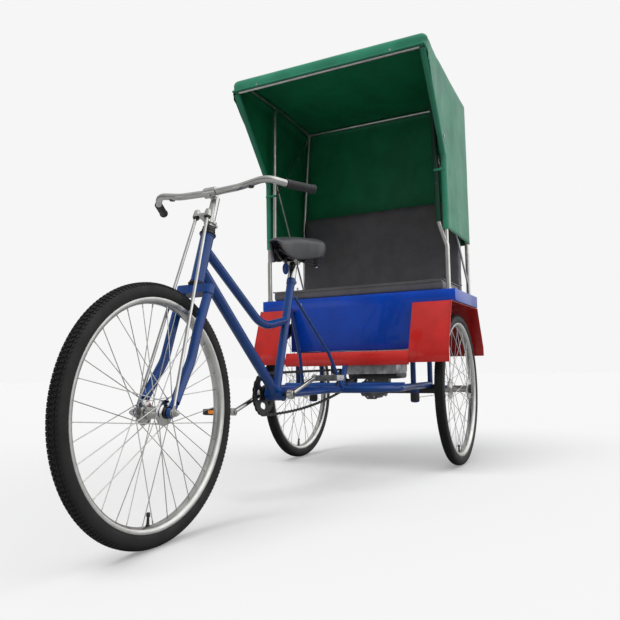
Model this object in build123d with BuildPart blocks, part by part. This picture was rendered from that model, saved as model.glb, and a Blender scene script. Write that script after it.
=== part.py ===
from build123d import *
from math import atan2, cos, radians, sin
import os

os.makedirs("parts", exist_ok=True)

# Electric passenger tricycle, millimetres. +X is forward, +Y is the rider's left, +Z is up.
# The origin is on the ground, halfway between the front and rear axles.
# Places are given as distances ahead of the rear axle, and `at` puts them in the part's frame.

# Driving sizes
WHEELBASE = 1690.0
REAR_TRACK = 846.0
WHEEL_RADIUS = 356.0
TYRE_WIDTH = 44.0
SHEET = 3.0

# Clearances
SEAT_GAP = 0.3
PIN_CLEARANCE = 0.3
CHAIN_CLEARANCE = 1.5

AXLE_HEIGHT = WHEEL_RADIUS
TYRE_TOP = 2 * WHEEL_RADIUS
WHEEL_LEFT = REAR_TRACK / 2
REAR_AXLE_X = -WHEELBASE / 2


def at(ahead, left, up):
    """A place measured ahead of the rear axle."""
    return (REAR_AXLE_X + ahead, left, up)


def rod(start, end, radius):
    """Adds a round bar between two points to the piece in hand."""
    run = Line(start, end, mode=Mode.PRIVATE)
    with BuildSketch(Plane(origin=run @ 0, z_dir=run % 0), mode=Mode.PRIVATE) as ring:
        Circle(radius)
    extrude(ring.sketch, amount=run.length, dir=run % 0)


def bent_tube(points, bend, radius):
    """Adds a round tube through points, with arcs of radius `bend` at its corners."""
    with BuildLine(mode=Mode.PRIVATE) as route:
        FilletPolyline(*points, radius=bend)
    with BuildSketch(Plane(origin=route.line @ 0, z_dir=route.line % 0), mode=Mode.PRIVATE) as ring:
        Circle(radius)
    sweep(ring.sketch, path=route.line)


def block(size, centre, mode=Mode.ADD):
    """Adds a square-edged block to the piece in hand, or cuts one from it."""
    with Locations(centre):
        Box(*size, mode=mode)


def disc(centre, radius, width, mode=Mode.ADD):
    """Adds a disc whose axis runs across the vehicle, or cuts one from the piece."""
    with Locations(Plane(origin=centre, z_dir=(0, 1, 0))):
        Cylinder(radius, width, mode=mode)


def side_plane(left):
    """An upright plane along the vehicle, drawn on as (ahead, height)."""
    return Plane(origin=at(0, left, 0), x_dir=(1, 0, 0), z_dir=(0, -1, 0))


def finish(piece, name):
    """Names a finished piece and writes it."""
    piece.label = name
    export_step(piece, f"parts/{name}.step")


# Steering axis: it leans back, so that it crosses the ground ahead of the tyre's contact
HEAD_BEHIND_AXLE = 198.0
HEAD_ABOVE_TYRE = 20.0
HEAD_BOTTOM_AHEAD = WHEELBASE - HEAD_BEHIND_AXLE
HEAD_BOTTOM_HEIGHT = TYRE_TOP + HEAD_ABOVE_TYRE
HEAD_LEAN = 0.361
HEAD_LENGTH = 165.0
HEAD_TUBE_RADIUS = 21.0
HEAD_LEAN_ANGLE = atan2(HEAD_LEAN, 1)
AXIS_UP = (-sin(HEAD_LEAN_ANGLE), 0, cos(HEAD_LEAN_ANGLE))
AXIS_FORWARD = (cos(HEAD_LEAN_ANGLE), 0, sin(HEAD_LEAN_ANGLE))


def on_axis(height):
    """The point of the steering axis at a height."""
    return at(HEAD_BOTTOM_AHEAD - HEAD_LEAN * (height - HEAD_BOTTOM_HEIGHT), 0, height)


def along_axis(distance):
    """A point of the steering axis, measured up it from the head tube's lower end."""
    return on_axis(HEAD_BOTTOM_HEIGHT + distance * cos(HEAD_LEAN_ANGLE))


# Head bearing, steerer and the parts stacked on it
STEERER_RADIUS = 14.0
HEAD_BORE_ROOM = 3.0
CUP_RADIUS = 28.5
UPPER_CUP = 20.0
LOWER_CUP = 12.0
LOCKNUT_RADIUS = 19.0
LOCKNUT_DEPTH = 12.0
STAYS_ABOVE_LOCKNUT = 8.7
STEM_ABOVE_STAYS = 98.0
STEM_FOOT = HEAD_LENGTH + UPPER_CUP + SEAT_GAP
STAY_RISE = STEM_FOOT + LOCKNUT_DEPTH + STAYS_ABOVE_LOCKNUT
STEM_TOP = STAY_RISE + STEM_ABOVE_STAYS

# Main frame
BRACKET_AHEAD = 1015.0
BRACKET_RISE = 19.0
BRACKET_HEIGHT = AXLE_HEIGHT + BRACKET_RISE
BRACKET_HALF_WIDTH = 34.0
BRACKET_RADIUS = 23.0
SPINDLE_RADIUS = 8.5
DOWN_TUBE_RADIUS = 18.0
DOWN_TUBE_RISE = 48.0
TOP_TUBE_RADIUS = 15.0
TOP_TUBE_RISE = 113.0
TOP_TUBE_BEND = 160.0
TOP_TUBE_KNEE_AHEAD = 90.0
TOP_TUBE_SAG = 32.0
SEAT_TUBE_RADIUS = 16.0
SEAT_TUBE_SETBACK = 138.0
SEAT_TUBE_RISE = 440.0
SEAT_LUG_SHARE = 0.625
CHAIN_STAY_RADIUS = 11.0
CHAIN_STAY_FRONT_LEFT = 20.0
CHAIN_STAY_REAR_LEFT = 85.0
CHAIN_STAY_DROP = 3.0
SEAT_STAY_RADIUS = 7.0
SEAT_STAY_BEND = 90.0
BRACKET_CENTRE = at(BRACKET_AHEAD, 0, BRACKET_HEIGHT)

# Seat post and saddle
SEAT_POST_RADIUS = 12.5
CLAMP_RISE = 75.0
CLAMP_RADIUS = 17.0
CLAMP_WIDTH = 44.0
SADDLE_WIRE_RADIUS = 4.0
SADDLE_WIRE_BEND = 20.0
SADDLE_RISE = 32.0
SADDLE_DEPTH = 62.0
SADDLE_EDGE = 22.0
SADDLE_NOSE_REACH = 160.5
SADDLE_NOSE_RADIUS = 24.0
SADDLE_TAIL_REACH = 53.5
SADDLE_REAR_LEFT = 67.0
SADDLE_REAR_RADIUS = 50.0

# Rear axle and chassis
HUB_REACH = 64.0
HUB_END_GAP = 24.0
AXLE_TUBE_RADIUS = 22.0
AXLE_TUBE_START = 65.0
AXLE_TUBE_END = WHEEL_LEFT - HUB_REACH - HUB_END_GAP
COLLAR_RADIUS = 28.0
COLLAR_WIDTH = 24.0
SHAFT_RADIUS = 11.0
SHAFT_ROOM = 4.0
WELD_DEPTH = 4.0
HOOP_INSET = 45.0
HOOP_HALF_WIDTH = AXLE_TUBE_END - HOOP_INSET
HOOP_RISE = 21.0
HOOP_HEIGHT = AXLE_HEIGHT + HOOP_RISE
HOOP_RADIUS = 15.0
HOOP_FRONT_AHEAD = 590.0
HOOP_BEND = 150.0
CROSS_TUBE_AHEAD = 400.0
CROSS_TUBE_RADIUS = 12.5
CROSS_TUBE_RISE = 10.0
CROSS_TUBE_HEIGHT = HOOP_HEIGHT + CROSS_TUBE_RISE
BUMP_STOP_AHEAD = 165.0
BUMP_STOP_INSET = 28.0
BUMP_STOP_RADIUS = 20.0
BUMP_STOP_DROP = 74.0
CHASSIS_POST_RADIUS = 12.0

# Seat box, deck, mudguards and footboard
DECK_ABOVE_TYRE = 95.0
DECK_TOP = TYRE_TOP + DECK_ABOVE_TYRE
DECK_DEPTH = 55.0
DECK_BOTTOM = DECK_TOP - DECK_DEPTH
DECK_FRONT = 263.0
DECK_REAR = -195.0
GUARD_INNER = HOOP_HALF_WIDTH + 15.0
GUARD_OUTER = WHEEL_LEFT + 57.0
DECK_HALF_WIDTH = GUARD_OUTER + 10.0
BOX_DEPTH = 205.0
BOX_BOTTOM = DECK_BOTTOM - BOX_DEPTH
BOX_FRONT = DECK_FRONT
BOX_REAR = -185.0
BOX_HALF_WIDTH = GUARD_INNER + 25.0
RAIL = 25.0
RAIL_TOP = BOX_BOTTOM - SEAT_GAP
RAIL_BOTTOM = RAIL_TOP - RAIL
RAIL_FRONT = 360.0
CROSS_MEMBER = 20.0
CROSS_MEMBER_DROP = 4.0
CROSS_MEMBERS_AHEAD = (-160.0, 60.0, 350.0)
GUARD_TOP = DECK_BOTTOM - SEAT_GAP
GUARD_FRONT_TOP = 300.0
GUARD_FRONT_LOW = 378.0
GUARD_REAR_TOP = -232.0
GUARD_REAR_LOW = -345.0
GUARD_KNEE = BOX_BOTTOM - 4.0
GUARD_HEM = GUARD_KNEE - 59.0
FOOT_TOP = BOX_BOTTOM - 9.0
FOOT_SLOPE = 27.0
FOOT_KNEE = FOOT_TOP - FOOT_SLOPE
FOOT_LIP = 36.0
FOOT_EDGE_AHEAD = 366.0

# Battery, motor and differential case
BATTERY_LENGTH = 180.0
BATTERY_WIDTH = 400.0
BATTERY_HEIGHT = 165.0
BATTERY_AHEAD = 30.0
MOTOR_LENGTH = 170.0
MOTOR_WIDTH = 270.0
MOTOR_HEIGHT = 92.0
MOTOR_AHEAD = 108.0
MOTOR_LEFT = 55.0
MOTOR_DROP = 91.0
MOTOR_EDGE = 22.0
HANGER_AHEAD = 60.0
HANGER_RADIUS = 14.0
CASE_RADIUS = 54.0
CASE_WIDTH = 112.0
CASE_NECK_RADIUS = 30.0
GEAR_BLOCK = 60.0
GEAR_BLOCK_LENGTH = 70.0
GEAR_BLOCK_AHEAD = 24.0
GEAR_BLOCK_RISE = 42.0

# Canopy
POST_RADIUS = 10.5
POST_BEND = 60.0
FRONT_POST_AHEAD = 245.0
REAR_POST_AHEAD = -160.0
POST_LEFT = DECK_HALF_WIDTH - 33.0
CLOTH = 3.0
CLOTH_HALF_WIDTH = POST_LEFT + POST_RADIUS + SEAT_GAP + CLOTH
ROOF_RISE = 1053.0
ROOF_FALL = 48.0
ROOF_FRONT_AHEAD = 550.0
ROOF_REAR_AHEAD = -200.0
ROOF_FRONT_HEIGHT = DECK_TOP + ROOF_RISE
ROOF_REAR_HEIGHT = ROOF_FRONT_HEIGHT - ROOF_FALL
ROOF_SLOPE = ROOF_FALL / (ROOF_FRONT_AHEAD - ROOF_REAR_AHEAD)
VALANCE_DROP = 74.0
VALANCE_BOTTOM = ROOF_FRONT_HEIGHT - VALANCE_DROP
VALANCE_LEAN = 4.0
KINK_DROP = 445.0
KINK_HEIGHT = ROOF_FRONT_HEIGHT - KINK_DROP
CURTAIN_BOTTOM = DECK_TOP + 268.0
CURTAIN_FRONT = FRONT_POST_AHEAD - 4.0
BOW_RADIUS = 8.0
BRACE_RADIUS = 5.0
HOOP_TOP_LEFT = POST_LEFT - 45.0
HOOP_JOG_LEFT = POST_LEFT - 33.0
JOG_LOW = KINK_HEIGHT - 410.0
JOG_HIGH = KINK_HEIGHT - 300.0
REAR_POST_KNEE = KINK_HEIGHT - 165.0
BOW_TOP_LEFT = POST_LEFT - 17.0
BRACE_FRONT_LOW = KINK_HEIGHT - 78.0
BRACE_FRONT_HIGH = KINK_HEIGHT + 48.0
BRACE_REAR_LOW = DECK_TOP + 53.0
ROOF_ROUNDING = 30.0
RAIL_DROP = CLOTH + SEAT_GAP + POST_RADIUS + 0.2

# Passenger seat
CUSHION_FRONT = 257.0
CUSHION_REAR = -66.0
CUSHION_DEPTH = 48.0
CUSHION_LOW = DECK_TOP + SEAT_GAP
CUSHION_TOP = DECK_TOP + CUSHION_DEPTH
CUSHION_HALF_WIDTH = DECK_HALF_WIDTH - 50.0
CUSHION_EDGE = 12.0
BACK_TOP = DECK_TOP + 501.0
BACK_THICKNESS = 52.0
BACK_FOOT_AHEAD = -70.0
BACK_LEAN = 60.0

# Cranks, chainring and chain
CRANK_LENGTH = 160.0
CRANK_ANGLE = 160.0
CRANK_THICKNESS = 14.0
CRANK_BOSS_RADIUS = 17.0
CRANK_TIP_RADIUS = 13.0
CRANK_ARM_RADIUS = 8.0
CRANK_ROOT_LEFT = 62.0
CRANK_TIP_LEFT = 86.0
CHAIN_LEFT = -47.0
CHAINRING_RADIUS = 71.0
WINDOW_INSET = 27.0
WINDOW_LENGTH = 38.0
WINDOW_DEPTH = 22.0
CHAINRING_THICKNESS = 3.0
CHAIN_WIDTH = 8.0
CHAIN_DEPTH = 8.0
SPROCKET_AHEAD = 310.0
SPROCKET_HEIGHT = HOOP_HEIGHT + 30.0
SPROCKET_RADIUS = 46.0
SPROCKET_SHAFT_RADIUS = 8.0
PEDAL_LENGTH = 95.0
PEDAL_WIDTH = 66.0
PEDAL_DEPTH = 22.0
PEDAL_PIN_RADIUS = 7.0
PEDAL_GAP = 8.0

# Fork, stem and handlebar
CROWN_DEPTH = 28.0
CROWN_LENGTH = 34.0
CROWN_HALF_WIDTH = 50.0
BLADE_RADIUS = 14.0
BLADE_BEND = 120.0
TAB_LEFT = 57.0
TAB_THICKNESS = 8.0
TAB_RADIUS = 15.0
FRONT_AXLE_RADIUS = 5.0
FRONT_AXLE_HALF = 84.0
NUT_RADIUS = 10.0
NUT_WIDTH = 8.0
STAY_RADIUS = 5.0
STAY_REACH = 46.0
STAY_TOP_LEFT = 21.0
STAY_EYE_RADIUS = 12.0
STAY_EYE_THICKNESS = 5.0
BRACKET_PLATE = 8.0
CAP_NUT_RADIUS = 9.0
CAP_NUT_HEIGHT = 14.0
STEM_LUG_RADIUS = 13.0
BAR_RADIUS = 11.0
BAR_AHEAD = HEAD_BOTTOM_AHEAD - 79.0
BAR_HEIGHT = HEAD_BOTTOM_HEIGHT + 299.0
CLAMP_WALL = 6.0
BAR_CLAMP_WIDTH = 44.0
GRIP_RADIUS = 15.0

# Wheels
TYRE_DEPTH = 40.0
TREAD_HALF = 12.0
BEAD_HALF = 16.0
RIM_DEPTH = 20.0
RIM_WALL = 7.0
RIM_HALF_WIDTH = 17.0
RIM_WELL_HALF = 8.0
RIM_OUTER = WHEEL_RADIUS - TYRE_DEPTH
RIM_INNER = RIM_OUTER - RIM_DEPTH
SPOKE_RADIUS = 1.3
SPOKES = 36
SPOKE_SLANT = 62.0
SPOKE_TIP_LEFT = 4.0
FLANGE_HALF = 1.5
SPOKE_RUN_OUT = 0.9
SPOKE_PROUD = FLANGE_HALF + SPOKE_RADIUS + SPOKE_RUN_OUT

# Axle tubes: the shafts turn in their bore, and the hoop and posts are welded to them
with BuildPart() as axle_tubes:
    for side in (-1, 1):
        middle = side * (AXLE_TUBE_END + AXLE_TUBE_START) / 2
        disc(at(0, middle, AXLE_HEIGHT), AXLE_TUBE_RADIUS, AXLE_TUBE_END - AXLE_TUBE_START)
        disc(at(0, side * (AXLE_TUBE_END - COLLAR_WIDTH / 2), AXLE_HEIGHT), COLLAR_RADIUS, COLLAR_WIDTH)
    disc(at(0, 0, AXLE_HEIGHT), SHAFT_RADIUS + PIN_CLEARANCE, 3 * AXLE_TUBE_END, mode=Mode.SUBTRACT)
finish(axle_tubes.part, "axle_tubes")

# Rear hoop: a tube bent round the front of the axle, with a cross tube and two bump stops
with BuildPart() as rear_hoop:
    corners = [at(AXLE_TUBE_RADIUS - WELD_DEPTH, HOOP_HALF_WIDTH, HOOP_HEIGHT),
               at(HOOP_FRONT_AHEAD, HOOP_HALF_WIDTH, HOOP_HEIGHT)]
    corners += [(x, -y, z) for x, y, z in reversed(corners)]
    bent_tube(corners, HOOP_BEND, HOOP_RADIUS)
    rod(at(CROSS_TUBE_AHEAD, HOOP_HALF_WIDTH, CROSS_TUBE_HEIGHT),
        at(CROSS_TUBE_AHEAD, -HOOP_HALF_WIDTH, CROSS_TUBE_HEIGHT), CROSS_TUBE_RADIUS)
    for side in (-1, 1):
        left = side * (HOOP_HALF_WIDTH - BUMP_STOP_INSET)
        rod(at(BUMP_STOP_AHEAD, left, HOOP_HEIGHT - BUMP_STOP_DROP),
            at(BUMP_STOP_AHEAD, left, HOOP_HEIGHT + 6), BUMP_STOP_RADIUS)
    add(axle_tubes.part, mode=Mode.SUBTRACT)
finish(rear_hoop.part, "rear_hoop")

# Floor rails under the seat box and the footboard
FOOT_UNDER = FOOT_TOP - SHEET - SEAT_GAP
RAIL_STEP = DECK_FRONT - 5
with BuildPart() as floor_rails:
    for side in (-1, 1):
        with BuildSketch(side_plane(side * HOOP_HALF_WIDTH)):
            with BuildLine():
                Polyline((BOX_REAR, RAIL_BOTTOM), (BOX_REAR, RAIL_TOP), (RAIL_STEP, RAIL_TOP),
                         (RAIL_STEP, FOOT_UNDER), (RAIL_FRONT, FOOT_UNDER), (RAIL_FRONT, RAIL_BOTTOM),
                         close=True)
            make_face()
        extrude(amount=RAIL / 2, both=True)
    for ahead in CROSS_MEMBERS_AHEAD:
        block((CROSS_MEMBER, 2 * HOOP_HALF_WIDTH + RAIL, CROSS_MEMBER),
              at(ahead, 0, RAIL_BOTTOM - CROSS_MEMBER_DROP))
finish(floor_rails.part, "floor_rails")


def up_seat_tube(share, left=0.0, behind=0.0):
    """A point beside the seat tube, from the bottom bracket (0) to its top (1)."""
    ahead = BRACKET_AHEAD - share * SEAT_TUBE_SETBACK
    return at(ahead - behind, left, BRACKET_HEIGHT + share * SEAT_TUBE_RISE)


# Main frame: head tube, top tube, down tube, seat tube, bottom bracket shell and chain stays
with BuildPart() as main_frame:
    rod(along_axis(0), along_axis(HEAD_LENGTH), HEAD_TUBE_RADIUS)
    rod(on_axis(HEAD_BOTTOM_HEIGHT + DOWN_TUBE_RISE), BRACKET_CENTRE, DOWN_TUBE_RADIUS)
    seat_lug = up_seat_tube(SEAT_LUG_SHARE)
    knee = at(BRACKET_AHEAD + TOP_TUBE_KNEE_AHEAD, 0, seat_lug[2] - TOP_TUBE_SAG)
    bent_tube([on_axis(HEAD_BOTTOM_HEIGHT + TOP_TUBE_RISE), knee, seat_lug], TOP_TUBE_BEND, TOP_TUBE_RADIUS)
    rod(up_seat_tube(1), BRACKET_CENTRE, SEAT_TUBE_RADIUS)
    disc(BRACKET_CENTRE, BRACKET_RADIUS, 2 * BRACKET_HALF_WIDTH)
    for side in (-1, 1):
        rod(at(BRACKET_AHEAD, side * CHAIN_STAY_FRONT_LEFT, BRACKET_HEIGHT - CHAIN_STAY_DROP),
            at(HOOP_FRONT_AHEAD, side * CHAIN_STAY_REAR_LEFT, HOOP_HEIGHT), CHAIN_STAY_RADIUS)
    bore = Cylinder(STEERER_RADIUS + HEAD_BORE_ROOM, 3 * HEAD_LENGTH, mode=Mode.PRIVATE)
    add(Plane(origin=along_axis(HEAD_LENGTH / 2), z_dir=AXIS_UP) * bore, mode=Mode.SUBTRACT)
    disc(BRACKET_CENTRE, SPINDLE_RADIUS + PIN_CLEARANCE, 4 * BRACKET_HALF_WIDTH, mode=Mode.SUBTRACT)
    add(rear_hoop.part, mode=Mode.SUBTRACT)
finish(main_frame.part, "main_frame")

# Seat stays: two thin struts that splay down to the hoop
with BuildPart() as seat_stays:
    for side in (-1, 1):
        top = up_seat_tube(0.84, left=side * 14, behind=19)
        bend = at(HOOP_FRONT_AHEAD + 100, side * 66, HOOP_HEIGHT + 153)
        foot = at(HOOP_FRONT_AHEAD + 20, side * 92, HOOP_HEIGHT)
        bent_tube([top, bend, foot], SEAT_STAY_BEND, SEAT_STAY_RADIUS)
    add(main_frame.part, mode=Mode.SUBTRACT)
    add(rear_hoop.part, mode=Mode.SUBTRACT)
finish(seat_stays.part, "seat_stays")

# Head bearing cups
CUP_ENDS = (("headset_lower", -LOWER_CUP, 0), ("headset_upper", HEAD_LENGTH, HEAD_LENGTH + UPPER_CUP))
for name, low, high in CUP_ENDS:
    with BuildPart() as cup:
        rod(along_axis(low), along_axis(high), CUP_RADIUS)
        bore = Cylinder(STEERER_RADIUS + PIN_CLEARANCE, 5 * UPPER_CUP, mode=Mode.PRIVATE)
        add(Plane(origin=along_axis(low), z_dir=AXIS_UP) * bore, mode=Mode.SUBTRACT)
    finish(cup.part, name)

# Seat post with the saddle's wires, which run under the saddle from its tail to its nose
clamp_x, clamp_left, clamp_height = up_seat_tube(1 + CLAMP_RISE / SEAT_TUBE_RISE)
SADDLE_UNDER = clamp_height + SADDLE_RISE
with BuildPart() as seat_post:
    rod(up_seat_tube(1), (clamp_x, 0, clamp_height), SEAT_POST_RADIUS)
    disc((clamp_x, 0, clamp_height), CLAMP_RADIUS, CLAMP_WIDTH)
    for side in (-1, 1):
        tail = (clamp_x - SADDLE_TAIL_REACH - 10, side * 48, SADDLE_UNDER + 6)
        nose = (clamp_x + SADDLE_NOSE_REACH - SADDLE_NOSE_RADIUS, side * 10, SADDLE_UNDER - 4)
        low_rear = (clamp_x - 0.75 * SADDLE_TAIL_REACH, side * 22, clamp_height)
        low_front = (clamp_x + 0.375 * SADDLE_NOSE_REACH, side * 22, clamp_height)
        bent_tube([tail, low_rear, low_front, nose], SADDLE_WIRE_BEND, SADDLE_WIRE_RADIUS)
    add(main_frame.part, mode=Mode.SUBTRACT)
finish(seat_post.part, "seat_post")

# Saddle: a hull round its nose and its two tail corners, with a rounded top edge
with BuildPart() as saddle:
    with BuildSketch(Plane.XY.offset(SADDLE_UNDER + SEAT_GAP)):
        for forward, left, radius in ((SADDLE_NOSE_REACH, 0, SADDLE_NOSE_RADIUS),
                                      (-SADDLE_TAIL_REACH, -SADDLE_REAR_LEFT, SADDLE_REAR_RADIUS),
                                      (-SADDLE_TAIL_REACH, SADDLE_REAR_LEFT, SADDLE_REAR_RADIUS)):
            with Locations((clamp_x + forward, left)):
                Circle(radius)
        make_hull()
    extrude(amount=SADDLE_DEPTH)
    fillet(saddle.edges().group_by(Axis.Z)[-1], SADDLE_EDGE)
    add(seat_post.part, mode=Mode.SUBTRACT)
finish(saddle.part, "saddle")

# Seat box: an open-topped tray of sheet, closed by the deck
with BuildPart() as seat_box:
    box_height = DECK_BOTTOM - SEAT_GAP - BOX_BOTTOM
    box_middle = at((BOX_FRONT + BOX_REAR) / 2, 0, BOX_BOTTOM + box_height / 2)
    block((BOX_FRONT - BOX_REAR, 2 * BOX_HALF_WIDTH, box_height), box_middle)
    inside = (BOX_FRONT - BOX_REAR - 2 * SHEET, 2 * (BOX_HALF_WIDTH - SHEET), box_height)
    block(inside, (box_middle[0], 0, box_middle[2] + SHEET), mode=Mode.SUBTRACT)
finish(seat_box.part, "seat_box")

# Deck: a folded tray turned over, which carries the cushion and the canopy posts
with BuildPart() as deck:
    deck_middle = at((DECK_FRONT + DECK_REAR) / 2, 0, (DECK_TOP + DECK_BOTTOM) / 2)
    block((DECK_FRONT - DECK_REAR, 2 * DECK_HALF_WIDTH, DECK_DEPTH), deck_middle)
    inside = (DECK_FRONT - DECK_REAR - 2 * SHEET, 2 * (DECK_HALF_WIDTH - SHEET), DECK_DEPTH)
    block(inside, (deck_middle[0], 0, deck_middle[2] - SHEET), mode=Mode.SUBTRACT)
finish(deck.part, "deck")

# Batteries inside the seat box, as one plain block
with BuildPart() as battery_pack:
    battery_middle = BOX_BOTTOM + SHEET + SEAT_GAP + BATTERY_HEIGHT / 2
    block((BATTERY_LENGTH, BATTERY_WIDTH, BATTERY_HEIGHT), at(BATTERY_AHEAD, 0, battery_middle))
finish(battery_pack.part, "battery_pack")

# Mudguards: folded sheet over each rear wheel, open below and at the outer side
GUARD_OUTLINE = ((GUARD_FRONT_LOW, GUARD_HEM), (GUARD_FRONT_LOW, GUARD_KNEE), (GUARD_FRONT_TOP, GUARD_TOP),
                 (GUARD_REAR_TOP, GUARD_TOP), (GUARD_REAR_LOW, GUARD_KNEE + 12),
                 (GUARD_REAR_LOW, GUARD_HEM + 30))
for name, side in (("mudguard_left", 1), ("mudguard_right", -1)):
    with BuildPart() as mudguard:
        with BuildSketch(side_plane(side * GUARD_INNER)):
            with BuildLine() as fold:
                Polyline(*GUARD_OUTLINE)
                offset(amount=SHEET, side=Side.LEFT)
            make_face()
        extrude(amount=-side * (GUARD_OUTER - GUARD_INNER))
        block((BOX_FRONT - BOX_REAR + 2 * SEAT_GAP, 2 * (BOX_HALF_WIDTH + SEAT_GAP), 3 * BOX_DEPTH),
              (box_middle[0], 0, box_middle[2]), mode=Mode.SUBTRACT)
    finish(mudguard.part, name)

# Footboard: folded sheet in front of the seat box
with BuildPart() as footboard:
    with BuildSketch(side_plane(0)):
        with BuildLine():
            Polyline((GUARD_FRONT_LOW, FOOT_KNEE - FOOT_LIP), (GUARD_FRONT_LOW, FOOT_KNEE),
                     (FOOT_EDGE_AHEAD, FOOT_TOP), (DECK_FRONT, FOOT_TOP), (DECK_FRONT, FOOT_TOP - SHEET),
                     (FOOT_EDGE_AHEAD - 2, FOOT_TOP - SHEET), (GUARD_FRONT_LOW - SHEET, FOOT_KNEE),
                     (GUARD_FRONT_LOW - SHEET, FOOT_KNEE - FOOT_LIP), close=True)
        make_face()
    extrude(amount=GUARD_INNER - SEAT_GAP, both=True)
finish(footboard.part, "footboard")

# Posts from the hoop, the axle tubes and the cross tube up to the floor rails
MEMBER_UNDER = RAIL_BOTTOM - CROSS_MEMBER_DROP - CROSS_MEMBER / 2
POST_PLACES = ((272.0, HOOP_HEIGHT), (0.0, AXLE_HEIGHT))
with BuildPart() as chassis_posts:
    for ahead, foot in POST_PLACES:
        for side in (-1, 1):
            left = side * HOOP_HALF_WIDTH
            rod(at(ahead, left, foot), at(ahead, left, RAIL_BOTTOM), CHASSIS_POST_RADIUS)
    rod(at(CROSS_TUBE_AHEAD, 0, CROSS_TUBE_HEIGHT), at(CROSS_TUBE_AHEAD - 45, 0, MEMBER_UNDER),
        CHASSIS_POST_RADIUS)
    add(axle_tubes.part, mode=Mode.SUBTRACT)
    for neighbour in (rear_hoop, floor_rails, footboard):
        add(neighbour.part, mode=Mode.SUBTRACT)
    disc(at(0, 0, AXLE_HEIGHT), SHAFT_RADIUS + SHAFT_ROOM, 3 * AXLE_TUBE_END, mode=Mode.SUBTRACT)
finish(chassis_posts.part, "chassis_posts")

# Motor, hung from a floor cross member, and the differential case below it
motor_middle = BOX_BOTTOM - MOTOR_DROP
with BuildPart() as motor:
    block((MOTOR_LENGTH, MOTOR_WIDTH, MOTOR_HEIGHT), at(MOTOR_AHEAD, MOTOR_LEFT, motor_middle))
    fillet(motor.edges().filter_by(Axis.Y), MOTOR_EDGE)
    rod(at(HANGER_AHEAD, MOTOR_LEFT, MEMBER_UNDER - SEAT_GAP), at(HANGER_AHEAD, MOTOR_LEFT, motor_middle),
        HANGER_RADIUS)
finish(motor.part, "motor")
with BuildPart() as differential:
    disc(at(0, 0, AXLE_HEIGHT), CASE_RADIUS, CASE_WIDTH)
    disc(at(0, 0, AXLE_HEIGHT), CASE_NECK_RADIUS, 2 * (AXLE_TUBE_START - SEAT_GAP))
    block((GEAR_BLOCK_LENGTH, GEAR_BLOCK, GEAR_BLOCK),
          at(GEAR_BLOCK_AHEAD, GEAR_BLOCK / 2, AXLE_HEIGHT + GEAR_BLOCK_RISE))
    disc(at(0, 0, AXLE_HEIGHT), SHAFT_RADIUS + SHAFT_ROOM, 4 * CASE_WIDTH, mode=Mode.SUBTRACT)
    add(motor.part, mode=Mode.SUBTRACT)
finish(differential.part, "differential")


def roof(ahead, below):
    """Height under the roof's outer face."""
    return ROOF_FRONT_HEIGHT - ROOF_SLOPE * (ROOF_FRONT_AHEAD - ahead) - below


def roof_rail(ahead, left):
    """A point of the tubes that carry the roof cloth."""
    return at(ahead, left, roof(ahead, RAIL_DROP))


# Canopy frame: bent posts, side rails, cross bars, front struts and diagonal braces
BOW_AHEAD = ROOF_FRONT_AHEAD - CLOTH - SEAT_GAP - BOW_RADIUS - VALANCE_LEAN
VALANCE_BAR = VALANCE_BOTTOM + 12
with BuildPart() as canopy_frame:
    for side in (-1, 1):
        left = side * POST_LEFT
        foot = DECK_TOP + SEAT_GAP
        jog_left = side * HOOP_JOG_LEFT
        top_left = side * HOOP_TOP_LEFT
        bow_left = side * BOW_TOP_LEFT
        bent_tube([at(FRONT_POST_AHEAD, left, foot), at(FRONT_POST_AHEAD, left, JOG_LOW),
                   at(FRONT_POST_AHEAD, jog_left, JOG_HIGH), roof_rail(FRONT_POST_AHEAD, top_left),
                   roof_rail(REAR_POST_AHEAD, top_left)], POST_BEND, POST_RADIUS)
        bent_tube([at(REAR_POST_AHEAD, left, foot), at(REAR_POST_AHEAD, left, REAR_POST_KNEE),
                   roof_rail(REAR_POST_AHEAD, top_left)], POST_BEND, POST_RADIUS)
        kink = at(FRONT_POST_AHEAD, left, KINK_HEIGHT + 6)
        rod(at(FRONT_POST_AHEAD, left, JOG_LOW - POST_BEND), kink, BOW_RADIUS)
        rod(kink, at(BOW_AHEAD, left, VALANCE_BAR), BOW_RADIUS)
        rod(at(BOW_AHEAD, left, VALANCE_BAR), roof_rail(BOW_AHEAD, bow_left), BOW_RADIUS)
        rod(roof_rail(FRONT_POST_AHEAD - 70, top_left), roof_rail(BOW_AHEAD, bow_left), BOW_RADIUS)
        rod(at(REAR_POST_AHEAD, top_left, VALANCE_BOTTOM), at(FRONT_POST_AHEAD, jog_left, BRACE_FRONT_LOW),
            BRACE_RADIUS)
        rod(at(REAR_POST_AHEAD, left, BRACE_REAR_LOW), at(FRONT_POST_AHEAD, jog_left, BRACE_FRONT_HIGH),
            BRACE_RADIUS)
    rear_bar = [roof_rail(REAR_POST_AHEAD, side * HOOP_TOP_LEFT) for side in (-1, 1)]
    for start, end in (rear_bar, (roof_rail(BOW_AHEAD, -BOW_TOP_LEFT), roof_rail(BOW_AHEAD, BOW_TOP_LEFT)),
                       (at(BOW_AHEAD, -POST_LEFT, VALANCE_BAR), at(BOW_AHEAD, POST_LEFT, VALANCE_BAR))):
        rod(start, end, BOW_RADIUS)
finish(canopy_frame.part, "canopy_frame")

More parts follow.
